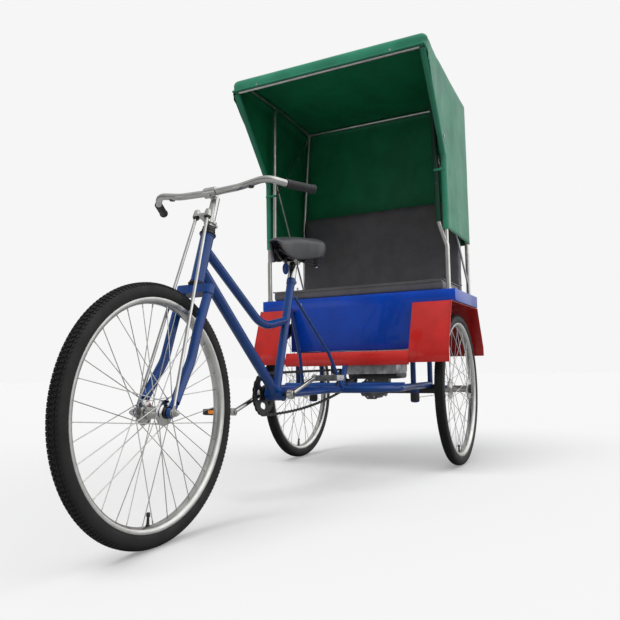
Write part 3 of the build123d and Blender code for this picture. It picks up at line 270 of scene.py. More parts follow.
def coated_canvas(name, colour, sheen=0.15):
    """Coated canvas: a 3 mm weave, coarser than the real thread so that it shows, under a thin satin coat, with
    painted shade in the hollows of its broad drape.
    """
    material, tree, shader = new_material(name, colour, 0.0, 0.62, Specular_IOR_Level=0.3, Sheen_Weight=sheen,
                                          Sheen_Roughness=0.4)
    place = mottle(tree, shader, 160, 0.52, 0.7)
    threads = []
    for direction in ("X", "Y", "Z"):
        threads.append(add_node(tree, "ShaderNodeTexWave",
                                {"Scale": 0.32 / (3 * MM), "bands_direction": direction, "Distortion": 0.6},
                                {"Vector": place.outputs["Vector"]}))
    pair = add_node(tree, "ShaderNodeMath", {"operation": "ADD"})
    tree.links.new(threads[0].outputs["Fac"], pair.inputs[0])
    tree.links.new(threads[1].outputs["Fac"], pair.inputs[1])
    weave = add_node(tree, "ShaderNodeMath", {"operation": "ADD"})
    tree.links.new(pair.outputs[0], weave.inputs[0])
    tree.links.new(threads[2].outputs["Fac"], weave.inputs[1])
    fine = add_node(tree, "ShaderNodeBump", {"Strength": 0.25, "Distance": 0.25 * MM},
                    {"Height": weave.outputs[0]})
    drape_and_shade = add_node(tree, "ShaderNodeTexNoise", {"Scale": 1 / (120 * MM), "Detail": 2.5, "Distortion": 0.4},
                     {"Vector": place.outputs["Vector"]})
    broad = add_node(tree, "ShaderNodeBump", {"Strength": 0.3, "Distance": 12 * MM},
                     {"Height": drape_and_shade.outputs["Fac"], "Normal": fine.outputs["Normal"]})
    tree.links.new(broad.outputs["Normal"], shader.inputs["Normal"])
    # The colour darkens in the hollows of the broad drape: painted shade.
    tint(tree, shader, drape_and_shade.outputs["Fac"], darker(colour, 0.88), darker(colour, 1.12))
    return material


FINISHES = {}


class TRICYCLE_OT_finishes(bpy.types.Operator):
    """Makes the finishes and gives each kept node its own"""
    bl_idname = "tricycle.finishes"
    bl_label = "Finishes"

    def execute(self, context):
        settings = context.scene.tricycle
        FINISHES["frame_blue"] = enamel("frame_enamel", list(settings.frame_blue))
        FINISHES["box_blue"] = enamel("box_enamel", list(settings.box_blue))
        FINISHES["guard_red"] = enamel("guard_enamel", list(settings.guard_red))
        FINISHES["canopy_green"] = coated_canvas("coated_canvas", list(settings.canvas_green))
        FINISHES["vinyl_black"] = grained_vinyl("grained_vinyl", list(settings.vinyl_black))
        FINISHES["chrome"] = plated("chrome_plate", "#BDBDBB", 0.12, 0.22)
        FINISHES["zinc_steel"] = plated("zinc_plate", "#C6C6C3", 0.26, 0.42, 18)
        FINISHES["cast_alloy"] = cast_metal("cast_alloy", "#77777A")
        FINISHES["black_steel"] = moulded("black_oxide", "#141416", 0.3, 0.45, 3, 0.1)
        FINISHES["grip_rubber"] = moulded("grip_rubber", "#17171A", 0.5, 0.62, 1.2, 0.2)
        FINISHES["black_plastic"] = moulded("moulded_plastic", "#1A1A1D", 0.35, 0.5, 1.5, 0.12)
        FINISHES["tyre"] = moulded("tyre_rubber", "#111112", 0.55, 0.72, 1.4, 0.25, Specular_IOR_Level=0.3)
        FINISHES["amber"] = moulded("amber_acrylic", "#C9710F", 0.12, 0.25, 5, 0.4, Coat_Weight=0.5)
        # The inside face is a darker, more saturated copy of the canopy green: partly the coated canvas's own
        # back, partly painted shade for the canopy's dim inside.
        FINISHES["canopy_inside"] = coated_canvas("canvas_back_and_shade", linear("#0A6A42"), 0.0)
        # A near-black copy of the canopy green for the cloth sleeve round the front post inside the canopy:
        # painted shade.
        FINISHES["canopy_shade"] = coated_canvas("canvas_sleeve_painted_shade", linear("#0C3324"), 0.0)
        FINISHES["saddle_skin"] = moulded("saddle_skin", "#353639", 0.33, 0.42, 2.2, 0.14)
        FINISHES["light_alloy"] = cast_metal("light_alloy", "#D0D1D2")
        FINISHES["seat_post"] = plated("seat_post_plate", "#BDBDBB", 0.12, 0.22)
        blacken(FINISHES["seat_post"], SEAT_POST_HEAD_UP, "#141416")
        kept = {
            "frame_blue": ("main_frame", "seat_stays", "rear_hoop", "chassis_posts", "floor_rails", "fork"),
            "chrome": ("stem", "handlebar", "fork_stays", "stay_bracket", "front_axle",
                       "crank_left", "crank_right", "front_wheel_hub"),
            "zinc_steel": ("canopy_frame", "rear_wheel_left_hub", "rear_wheel_right_hub", "front_wheel_spokes",
                           "rear_wheel_left_spokes", "rear_wheel_right_spokes"),
            "seat_post": ("seat_post",),
            "black_steel": ("axle_tubes", "battery_pack", "chainring", "sprocket", "sprocket_bracket",
                            "spindle"),
        }
        for finish, nodes in kept.items():
            for node in nodes:
                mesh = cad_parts[node].data
                mesh.materials.clear()
                mesh.materials.append(FINISHES[finish])
        return {"FINISHED"}


# Making shapes

def axis_place(base, axis):
    """The placing that puts an upright shape at a point, along an axis."""
    return Matrix.Translation(base) @ Vector(axis).to_track_quat("Z", "Y").to_matrix().to_4x4()


def turn(mesh, outline, base, axis, steps=40):
    """Spins an outline of (radius, distance along the axis), in mm, round an axis through a point."""
    place = axis_place(base, axis)
    points = [mesh.verts.new(place @ Vector((radius * MM, 0, along * MM))) for radius, along in outline]
    pairs = list(zip(points, points[1:]))
    if outline[0][0] > 0 or outline[-1][0] > 0:
        pairs.append((points[-1], points[0]))
    edges = [mesh.edges.new(pair) for pair in pairs]
    bmesh.ops.spin(mesh, geom=points + edges, cent=base, axis=axis, angle=math.tau, steps=steps, use_merge=True)


def repeat_round(mesh, centre, count):
    """Repeats what a mesh holds evenly round an axis across the tricycle."""
    bmesh.ops.spin(mesh, geom=mesh.verts[:] + mesh.edges[:] + mesh.faces[:], cent=centre, axis=ACROSS,
                   angle=math.tau * (count - 1) / count, steps=count - 1, use_duplicate=True)


def side_view(angle):
    """The direction at an angle up from straight ahead."""
    return Vector((math.cos(angle), 0, math.sin(angle)))


def rod(mesh, start, end, radius, end_radius=None, sides=16):
    """Adds a round bar, or a tapered one, with radii in mm."""
    run = end - start
    bmesh.ops.create_cone(mesh, cap_ends=True, segments=sides, radius1=radius * MM,
                          radius2=(radius if end_radius is None else end_radius) * MM, depth=run.length,
                          matrix=axis_place((start + end) / 2, run))


def nut(mesh, base, axis, across, height, turned=0.0):
    """Adds a hexagon nut or bolt head with chamfered corners, its size in mm."""
    place = axis_place(base + Vector(axis).normalized() * height * MM / 2, axis)
    made = bmesh.ops.create_cone(mesh, cap_ends=True, segments=6, radius1=across * MM / 1.732,
                                 radius2=across * MM / 1.732, depth=height * MM,
                                 matrix=place @ Matrix.Rotation(turned, 4, "Z"))
    edges = {e for v in made["verts"] for e in v.link_edges}
    bmesh.ops.bevel(mesh, geom=list(edges), offset=min(across, height) * 0.08 * MM, segments=1, profile=0.5,
                    affect="EDGES", material=-1)


def dome(mesh, base, axis, radius, height):
    """Adds a rounded rivet or screw head, its size in mm."""
    outline = [(radius * math.cos(a), height * math.sin(a)) for a in (0, 0.5, 1.0, math.pi / 2)]
    turn(mesh, [(0, 0), *outline[:-1], (0, height)], base, axis, 12)


def block(mesh, centre, size, turned=Matrix.Identity(4), edge=0.0):
    """Adds a block, its size in mm, with its edges rounded."""
    place = Matrix.Translation(centre) @ turned @ Matrix.Diagonal((*(s * MM for s in size), 1))
    made = bmesh.ops.create_cube(mesh, size=1, matrix=place)
    if edge:
        edges = {e for v in made["verts"] for e in v.link_edges}
        bmesh.ops.bevel(mesh, geom=list(edges), offset=edge * MM, segments=2, profile=0.5, affect="EDGES",
                        material=-1)


def piece(name, mesh, finish, body, replaced=(), angle=32, tidy=True):
    """Makes a finished, smooth-shaded piece that rides on a body."""
    if tidy:
        bmesh.ops.remove_doubles(mesh, verts=mesh.verts, dist=1e-6)
        bmesh.ops.recalc_face_normals(mesh, faces=mesh.faces)
    data = bpy.data.meshes.new(name)
    mesh.to_mesh(data)
    mesh.free()
    data.materials.append(FINISHES[finish])
    for polygon in data.polygons:
        polygon.use_smooth = True
    data.set_sharp_from_angle(angle=math.radians(angle))
    made = bpy.data.objects.new(name, data)
    bpy.context.scene.collection.objects.link(made)
    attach(made, body)
    if replaced:
        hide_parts(*replaced)
    return made


def merged_copy(node):
    """A node's shape with its loose triangles merged into flat faces."""
    mesh = bmesh.new()
    mesh.from_mesh(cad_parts[node].data)
    bmesh.ops.remove_doubles(mesh, verts=mesh.verts, dist=1e-5)
    bmesh.ops.dissolve_limit(mesh, angle_limit=math.radians(0.5), verts=mesh.verts, edges=mesh.edges)
    return mesh


def round_edges(mesh, edge, segments=2, over=25):
    """Rounds every edge that turns by more than some degrees."""
    sharp = [e for e in mesh.edges if len(e.link_faces) == 2 and e.calc_face_angle(0) > math.radians(over)]
    bmesh.ops.bevel(mesh, geom=sharp, offset=edge * MM, segments=segments, profile=0.5, affect="EDGES",
                    material=-1, clamp_overlap=True)


# Wheels

# Points of a section, as (depth below the tread, half width) in mm
TYRE_SECTION = ((43.5, 14.6), (41, 17.8), (35.5, 20.7), (27, 21.9), (17.5, 21.3), (11.5, 19.2), (7.4, 15),
                (4.6, 9))
TREAD_TABLE = (
    # across, depth, tilt, turn, around, width, sides
    (3.7, 3.1, 4, 28, 8.6, 4.4, 4),
    (9.7, 4.3, 20, -28, 8.6, 5.0, 4),
    (15.4, 8.2, 44, 0, 10.0, 7.0, 3),
)
RIM_SECTION = ((42.6, 15.2), (41.8, 16.6), (42.6, 17.7), (45, 17.9), (50, 17.3), (54, 15.6), (57.2, 12),
               (59.2, 7), (60, 2.5))
RIM_BED = ((53, 4), (52, 10), (47, 13.4))
SPOKE_PAIRS = 18
SPOKE_SLANT = 62
SPOKE_TIP = (60.4, 4.0)


def mirrored(section):
    """A section's points and their mirror images, as an open outline of (radius, across)."""
    near = [(WHEEL_RADIUS - depth, half) for depth, half in section]
    return [*near, *((radius, -half) for radius, half in reversed(near))]


class TRICYCLE_OT_tyres(bpy.types.Operator):
    """Tyres with plain sidewalls and rows of slanted tread blocks"""
    bl_idname = "tricycle.tyres"
    bl_label = "Tyres"

    def execute(self, context):
        settings = context.scene.tricycle
        blocks = settings.tread_blocks
        outline = mirrored([*TYRE_SECTION, (3.8, 0.5)])
        for wheel in WHEELS:
            centre = middle_of(f"{wheel}_tyre")
            mesh = bmesh.new()
            turn(mesh, outline, centre, ACROSS, 144)
            tread = bmesh.new()
            for across, depth, tilt, slant, around, width, sides in TREAD_TABLE:
                for side in (-1, 1):
                    lean = Matrix.Rotation(side * math.radians(tilt), 4, "Z")
                    yaw = Matrix.Rotation(side * math.radians(slant), 4, "X")
                    step = Matrix.Rotation(side * 0.25 * math.tau / blocks, 4, "Y")
                    spot = Matrix.Translation(Vector(((WHEEL_RADIUS - depth) * MM, side * across * MM, 0)))
                    size = Matrix.Diagonal((settings.tread_height * 1.5, side * width * MM, around * MM, 1))
                    place = Matrix.Translation(centre) @ step @ spot @ lean @ yaw @ size
                    upright = Matrix.Rotation(math.pi / 2, 4, "Y")
                    if sides == 4:
                        upright = upright @ Matrix.Rotation(math.pi / 4, 4, "Z")
                    bmesh.ops.create_cone(tread, cap_ends=True, segments=sides, radius1=0.78, radius2=0.66,
                                          depth=1, matrix=place @ upright)
            repeat_round(tread, centre, blocks)
            piece(f"{wheel}_tyre_carcass", mesh, "tyre", wheel, [f"{wheel}_tyre"])
            piece(f"{wheel}_tread", tread, "tyre", wheel, tidy=False)
        return {"FINISHED"}


def spoke_ends(wheel, offset, root_radius, start, spoke):
    """The hub end and the rim end of one spoke."""
    centre = middle_of(f"{wheel}_tyre")
    tip = math.radians(start + spoke * 360 / SPOKE_PAIRS)
    root = tip + (1 if spoke % 2 else -1) * math.radians(SPOKE_SLANT)
    side = 1 if offset > 0 else -1
    tip_depth, tip_left = SPOKE_TIP
    ends = []
    for radius, angle, left in ((root_radius, root, offset), (WHEEL_RADIUS - tip_depth, tip, side * tip_left)):
        ends.append(centre + Vector((radius * math.cos(angle), left, radius * math.sin(angle))) * MM)
    return ends


# Each wheel's two hub flanges, as (mm left of its middle, radius of the spoke holes, first spoke's angle)
FLANGES = {
    "front_wheel": ((34.5, 32.5, 0), (-34.5, 32.5, 10)),
    "rear_wheel_left": ((-35, 45.5, 0), (50, 45.5, 10)),
    "rear_wheel_right": ((35, 45.5, 0), (-50, 45.5, 10)),
}


class TRICYCLE_OT_rims(bpy.types.Operator):
    """Rolled steel rims with spoke nipples and valves"""
    bl_idname = "tricycle.rims"
    bl_label = "Rims, nipples and valves"

    def execute(self, context):
        outline = [*mirrored(RIM_SECTION), *reversed(mirrored(RIM_BED))]
        for wheel in WHEELS:
            centre = middle_of(f"{wheel}_tyre")
            mesh = bmesh.new()
            turn(mesh, outline, centre, ACROSS, 144)
            piece(f"{wheel}_rolled_rim", mesh, "zinc_steel", wheel, [f"{wheel}_rim"])
            nipples = bmesh.new()
            for offset, root_radius, start in FLANGES[wheel]:
                for spoke in range(SPOKE_PAIRS):
                    root, tip = spoke_ends(wheel, offset, root_radius, start, spoke)
                    inward = (root - tip).normalized()
                    rod(nipples, tip - inward * 2 * MM, tip + inward * 9 * MM, 2.1, 1.7, 8)
            piece(f"{wheel}_nipples", nipples, "chrome", wheel)
            valve = bmesh.new()
            outward = side_view(math.radians(-85))
            stem = ((0, -1), (6.6, -1), (6.4, 1.6), (4.4, 3.4), (3.7, 19), (3.5, 23), (5.2, 24), (5.6, 28),
                    (5.2, 33), (3.8, 35), (0, 35))
            turn(valve, stem, centre + outward * (WHEEL_RADIUS - 60) * MM, -outward, 16)
            piece(f"{wheel}_valve", valve, "grip_rubber", wheel)
        return {"FINISHED"}


class TRICYCLE_OT_hub_fittings(bpy.types.Operator):
    """Cones, dust caps and cap nuts on the hubs"""
    bl_idname = "tricycle.hub_fittings"
    bl_label = "Hub fittings"

    def execute(self, context):
        front = middle_of("front_wheel_tyre")
        caps = bmesh.new()
        flanges = bmesh.new()
        for side in (-1, 1):
            outward = ACROSS * side
            turn(caps, ((5.2, 42), (15.5, 42), (16.5, 44), (16.5, 47.5), (13, 49.5), (5.2, 49.5)),
                 front, outward, 32)
            turn(flanges, ((17.2, 26), (19, 29), (24, 31.5), (33, 32.6), (34.6, 33.2), (34.8, 36), (33.6, 36.6),
                           (24, 37.2), (20.5, 40), (17, 41.2), (14.5, 41.2), (14.5, 26)), front, outward, 40)
        piece("front_hub_dust_caps", caps, "black_steel", "front_wheel")
        piece("front_hub_flanges", flanges, "chrome", "front_wheel")
        nuts = bmesh.new()
        for side in (-1, 1):
            outward = ACROSS * side
            base = front + outward * 66.6 * MM
            nut(nuts, base, outward, 17, 7.5, 0.2)
            turn(nuts, ((0, 7), (8, 7), (8, 11), (6.6, 15), (4, 17.4), (0, 18)), base, outward, 24)
        piece("front_axle_nuts", nuts, "zinc_steel", "steering")
        for side, wheel in ((1, "rear_wheel_left"), (-1, "rear_wheel_right")):
            centre = middle_of(f"{wheel}_tyre")
            outward = ACROSS * side
            cover = bmesh.new()
            turn(cover, ((0, 66.2), (12, 66.2), (18, 66), (20.5, 64), (21, 60), (21, 56), (19.2, 55),
                         (19.2, 58), (0, 58)), centre, outward, 32)
            piece(f"{wheel}_hub_cover", cover, "black_plastic", wheel)
            rings = bmesh.new()
            turn(rings, ((16.2, -24), (18, -27), (24, -32), (44, -33.2), (47.4, -33.8), (47.6, -36.6),
                         (45, -37.2), (24, -38), (18.4, -42), (16.8, -62), (11.5, -63.6), (11.5, -24)),
                 centre, outward, 40)
            turn(rings, ((16.2, 39), (18, 42), (24, 46.6), (44, 48), (47.4, 48.4), (47.6, 51.4), (45, 52),
                         (22, 53), (19.2, 54), (15, 54), (15, 39)), centre, outward, 40)
            piece(f"{wheel}_hub_flanges", rings, "zinc_steel", wheel)
        return {"FINISHED"}


# Steering

BAR_CLAMP = at(WHEELBASE - 277, 0, 2 * WHEEL_RADIUS + 319)
BAR_SHOULDER = (6, 168, 8)
BAR_END = (-45, 250, 3)
GRIP_END = (-134, 300, -2)
STAY_HEIGHT = 206
STAY_REACH = 46
STAY_LEFT = 21


def from_clamp(place, side):
    """A place in mm measured from the handlebar's clamp, on one side."""
    ahead, left, up = place
    return BAR_CLAMP + Vector((ahead, side * left, up)) * MM


class TRICYCLE_OT_head_bearing(bpy.types.Operator):
    """Stepped black bearing cups and locknut"""
    bl_idname = "tricycle.head_bearing"
    bl_label = "Head bearing"

    def execute(self, context):
        lower = bmesh.new()
        turn(lower, ((14.4, -12), (21, -12), (23, -11), (23.4, -9), (26, -8), (26.6, -5.6), (25, -3.4),
                     (22, -0.2), (14.4, -0.2)), HEAD_FOOT, AXIS_UP, 40)
        piece("lower_bearing_cup", lower, "black_steel", "chassis", ["headset_lower"])
        upper = bmesh.new()
        turn(upper, ((14.4, 165.2), (22, 165.2), (25.6, 166.6), (26.6, 169), (25.6, 171.4), (22.4, 172.4),
                     (20.6, 174), (20, 178), (21.6, 179), (21.6, 182), (19.6, 185), (14.4, 185)),
             HEAD_FOOT, AXIS_UP, 40)
        piece("upper_bearing_cup", upper, "black_steel", "chassis", ["headset_upper"])
        locknut = bmesh.new()
        nut(locknut, HEAD_FOOT + AXIS_UP * 185.6 * MM, AXIS_UP, 36, 8, 0.3)
        turn(locknut, ((14.1, 193.4), (18.6, 193.4), (18.6, 196), (16.5, 197.4), (14.1, 197.4)),
             HEAD_FOOT, AXIS_UP, 32)
        piece("bearing_locknut", locknut, "black_steel", "steering", ["locknut"])
        return {"FINISHED"}


class TRICYCLE_OT_bar_fittings(bpy.types.Operator):
    """Rubber grips, stem clamp bolt and the nuts of the stay rods"""
    bl_idname = "tricycle.bar_fittings"
    bl_label = "Bar fittings"

    def execute(self, context):
        for name, side in (("grip_left", 1), ("grip_right", -1)):
            start, end = from_clamp(BAR_END, side), from_clamp(GRIP_END, side)
            run = end - start
            length = run.length / MM
            outline = [(11.3, -4), (12.6, -4), (13.2, -2.5)]
            ribs = 9
            for rib in range(ribs):
                along = 8 + rib * (length - 26) / ribs
                outline += [(13.2, along), (12.6, along + 1), (12.6, along + 2.2), (13.2, along + 3.2)]
            outline += [(13.2, length - 9), (14.8, length - 7), (15, length - 4), (14.2, length - 1.5),
                        (11, length), (0, length + 0.4), (0, length - 6), (11.3, length - 6)]
            mesh = bmesh.new()
            turn(mesh, outline, start, run.normalized(), 32)
            piece(f"{name}_sleeve", mesh, "grip_rubber", "steering", [name])
        bolts = bmesh.new()
        washers = bmesh.new()
        nut(bolts, BAR_CLAMP + Vector((0.012, 0, -0.012)), Vector((1, 0, -1)), 10, 6)
        nut(bolts, BAR_CLAMP + Vector((-0.004, 0.012, -0.0165)), Vector((0, 0, -1)), 9, 5)
        ear = HEAD_FOOT + AXIS_UP * (STAY_HEIGHT + 3) * MM - AXIS_FORWARD * 21 * MM
        rod(bolts, ear - ACROSS * 8 * MM, ear + ACROSS * 8 * MM, 7)
        rod(bolts, ear - ACROSS * 15 * MM, ear + ACROSS * 15 * MM, 3)
        block(bolts, ear + AXIS_FORWARD * 6 * MM, (14, 13, 9), Matrix.Rotation(-HEAD_LEAN, 4, "Y"), 1.5)
        for side in (-1, 1):
            nut(bolts, ear + ACROSS * side * 9 * MM, ACROSS * side, 10, 5)
            top = HEAD_FOOT + AXIS_UP * (STAY_HEIGHT + 8.3) * MM + AXIS_FORWARD * STAY_REACH * MM
            top += ACROSS * side * STAY_LEFT * MM
            nut(bolts, top, AXIS_UP, 19, 8)
            turn(bolts, ((0, 7.6), (9.4, 7.6), (10, 10), (9, 14.6), (6, 18), (0, 19.4)), top, AXIS_UP, 20)
            turn(washers, ((6, 0), (9.4, 0), (9.8, -2), (9.4, -4), (6, -4)), top - AXIS_UP * 9 * MM,
                 AXIS_UP, 24)
            shoulder = from_clamp(BAR_SHOULDER, side).lerp(BAR_CLAMP, 0.1)
            turn(washers, ((0, 0), (10, 0), (11, 3), (8, 8), (0, 9.4)), shoulder - Vector((0, 0, 7 * MM)),
                 (0, 0, -1), 24)
        piece("stay_washers", washers, "black_steel", "steering")
        piece("steering_nuts", bolts, "zinc_steel", "steering")
        return {"FINISHED"}


# Saddle

SADDLE_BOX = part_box("saddle")
# Values along the saddle from its tail, 0, to its nose, 1
SADDLE_WIDTHS = ((0.0, 62), (0.05, 90), (0.12, 107), (0.22, 116), (0.34, 112), (0.46, 95), (0.58, 72),
                 (0.7, 50), (0.84, 34), (0.94, 26), (1.0, 19))
SADDLE_TOPS = ((0.0, -14), (0.08, -4), (0.2, 0), (0.42, -4), (0.58, -7), (0.8, -18), (0.94, -28), (1.0, -36))
SADDLE_EDGES = ((0.0, 58), (0.1, 78), (0.25, 85), (0.5, 99), (0.64, 104), (0.78, 94), (0.88, 74), (0.95, 58),
                (1.0, 50))

# Coil springs under the saddle, in mm
SPRING_AHEAD = 775
SPRING_LEFT = 60
SPRING_FOOT = 874
SPRING_LENGTH = 62
# Lower and upper end of the chrome sleeve round the seat post, as (ahead, left, up) in mm
SEAT_SLEEVE = ((876.5, 0, 816), (856, 0, 882))


def along_table(table, share):
    """A value from a table of (share, value), on a smooth curve through its rows."""
    slopes = [(b[1] - a[1]) / (b[0] - a[0]) for a, b in zip([table[0], *table], [*table[1:], table[-1]])]
    slopes = [slopes[0], *((a + b) / 2 for a, b in zip(slopes, slopes[1:])), slopes[-1]]
    for row, ((low, first), (high, second)) in enumerate(zip(table, table[1:])):
        if share <= high:
            span = high - low
            part = (share - low) / span
            rest = 1 - part
            return (first * (1 + 2 * part) * rest ** 2 + second * (1 + 2 * rest) * part ** 2
                    + span * (slopes[row] * part * rest ** 2 - slopes[row + 1] * rest * part ** 2))
    return table[-1][1]


class TRICYCLE_OT_saddle(bpy.types.Operator):
    """A padded vinyl saddle with turned-down skirts, on a black frame with coil springs"""
    bl_idname = "tricycle.saddle"
    bl_label = "Saddle"

    def execute(self, context):
        low, high = SADDLE_BOX
        length = high.x - low.x - 20 * MM
        mesh = bmesh.new()
        bmesh.ops.create_grid(mesh, x_segments=40, y_segments=36, size=0.5)
        for vertex in mesh.verts:
            share = min(max(vertex.co.x + 0.5, 0), 1)
            across = vertex.co.y * 2
            width = along_table(SADDLE_WIDTHS, share)
            top = along_table(SADDLE_TOPS, share)
            edge = -along_table(SADDLE_EDGES, share)
            shoulder = min(34, 0.5 * (top - edge))
            turned = min(abs(across) / 0.62, 1) * math.pi / 2
            down = max(0.0, (abs(across) - 0.62) / 0.38)
            left = math.copysign(width * math.sin(turned) * (1 - 0.09 * down ** 2), across)
            up = top - shoulder * (1 - math.cos(turned)) - (top - shoulder - edge) * down
            up -= 2.2 * math.exp(-(across / 0.16) ** 2 - ((share - 0.4) / 0.28) ** 2)
            tuck = 12 * down * max(0.0, 1 - share / 0.08) - 7 * down * max(0.0, (share - 0.9) / 0.1)
            vertex.co = Vector((low.x + length * share + tuck * MM, left * MM, high.z + up * MM))
        mesh.normal_update()
        if sum(f.normal.z * f.calc_area() for f in mesh.faces) < 0:
            bmesh.ops.reverse_faces(mesh, faces=mesh.faces)
        cover = piece("saddle_cover", mesh, "saddle_skin", "chassis", ["saddle"], angle=80, tidy=False)
        cover.data.materials.append(FINISHES["black_plastic"])
        skin = cover.modifiers.new("padding", "SOLIDIFY")
        skin.thickness = 7 * MM
        skin.offset = -1
        skin.material_offset = 1
        smooth = cover.modifiers.new("rounding", "SUBSURF")
        smooth.levels = smooth.render_levels = 1
        under = bmesh.new()
        clamp = middle_of("seat_post")
        for side in (-1, 1):
            tail = at(SPRING_AHEAD, side * SPRING_LEFT, SPRING_FOOT)
            coil = bpy.data.curves.new("coil", "CURVE")
            coil.dimensions = "3D"
            coil.bevel_depth = 2.1 * MM
            coil.bevel_resolution = 2
            line = coil.splines.new("POLY")
            turns, steps = 6, 16
            line.points.add(turns * steps)
            for i, point in enumerate(line.points):
                angle = i / steps * math.tau
                rise = i / (turns * steps) * SPRING_LENGTH * MM
                point.co = (tail.x + 13 * MM * math.cos(angle), tail.y + 13 * MM * math.sin(angle),
                            tail.z + rise, 1)
            helper = bpy.data.objects.new("coil", coil)
            context.scene.collection.objects.link(helper)
            data = bpy.data.meshes.new_from_object(helper)
            under.from_mesh(data)
            bpy.data.objects.remove(helper)
            block(under, tail, (32, 30, 4), edge=1)
            rod(under, tail, Vector((clamp.x, side * 20 * MM, SADDLE_CLAMP_UP * MM)), 3.4, sides=12)
        block(under, Vector((low.x + 130 * MM, 0, low.z + 14 * MM)), (150, 30, 4), edge=1.5)
        block(under, Vector((low.x + 46 * MM, 0, low.z + 22 * MM)), (50, 150, 4), edge=1.5)
        piece("saddle_springs", under, "black_steel", "chassis")
        bolts = bmesh.new()
        for side in (-1, 1):
            nut(bolts, Vector((clamp.x, side * 22 * MM, SADDLE_CLAMP_UP * MM)), ACROSS * side, 15, 7)
            nut(bolts, at(SPRING_AHEAD, side * SPRING_LEFT, SPRING_FOOT - 2), Vector((0, 0, -1)), 9, 5)
        nut(bolts, at(874, -17, 800), Vector((0.3, -1, 0)), 10, 5)
        post = bmesh.new()
        foot, head = (at(*place) for place in SEAT_SLEEVE)
        rise = (head - foot).length / MM
        turn(post, ((12.4, 0), (16.2, 0), (16.2, rise - 2), (14, rise), (12.4, rise)), foot,
             (head - foot).normalized(), 32)
        piece("seat_post_sleeve", post, "chrome", "chassis")
        piece("saddle_bolts", bolts, "zinc_steel", "chassis")
        tab = bmesh.new()
        bmesh.ops.create_cone(tab, cap_ends=True, segments=28, radius1=0.5, radius2=0.5, depth=1,
                              matrix=Matrix.Translation(at(922, 0, 851)) @ Matrix.Rotation(math.pi / 2, 4, "Y")
                              @ Matrix.Diagonal((46 * MM, 27 * MM, 5 * MM, 1)))
        round_edges(tab, 1.4)
        piece("saddle_tab", tab, "frame_blue", "chassis")
        strap = bmesh.new()
        block(strap, at(920, 0, 884), (3, 12, 30), edge=1)
        block(strap, at(888, 0, 897), (66, 14, 4), edge=1)
        piece("saddle_tab_strap", strap, "black_steel", "chassis")
        return {"FINISHED"}


# Drive

CHAIN_RING = 76.5
CHAIN_SPROCKET = 50.3
CHAIN_SLACK = 20


def chain_route():
    """The chain's two turns, as (middle, pitch radius) in metres."""
    ring = BRACKET + ACROSS * CHAIN_LEFT * MM
    small = middle_of("sprocket")
    small.y = ring.y
    return (ring, CHAIN_RING * MM), (small, CHAIN_SPROCKET * MM)


def chain_places(pitch):
    """Pins of the chain, evenly spaced round its two turns, and the direction at each."""
    (ring, big), (small, little) = chain_route()
    gap = small - ring
    distance = math.hypot(gap.x, gap.z)
    toward = math.atan2(gap.z, gap.x)
    open_angle = math.acos((big - little) / distance)
    straight = math.sqrt(distance ** 2 - (big - little) ** 2)
    around_ring = big * (math.tau - 2 * open_angle)
    around_small = little * 2 * open_angle
    total = around_ring + around_small + 2 * straight
    count = 2 * round(total / pitch / 2)
    places = []
    for i in range(count):
        s = i * total / count
        if s < around_ring:
            angle = toward + open_angle + s / big
            middle, radius = ring, big
        elif s < around_ring + straight:
            angle = toward - open_angle
            start = ring + big * side_view(angle)
            heading = angle + math.pi / 2
            run = side_view(heading)
            places.append((start + run * (s - around_ring), heading))
            continue
        elif s < around_ring + straight + around_small:
            angle = toward - open_angle + (s - around_ring - straight) / little
            middle, radius = small, little
        else:
            angle = toward + open_angle
            start = small + little * side_view(angle)
            heading = angle + math.pi / 2
            run = side_view(heading)
            along = s - around_ring - straight - around_small
            share = along / straight
            sink = Vector((0, 0, -4 * CHAIN_SLACK * share * (1 - share) * MM))
            places.append((start + run * along + sink, heading))
            continue
        places.append((middle + radius * side_view(angle), angle + math.pi / 2))
    return places


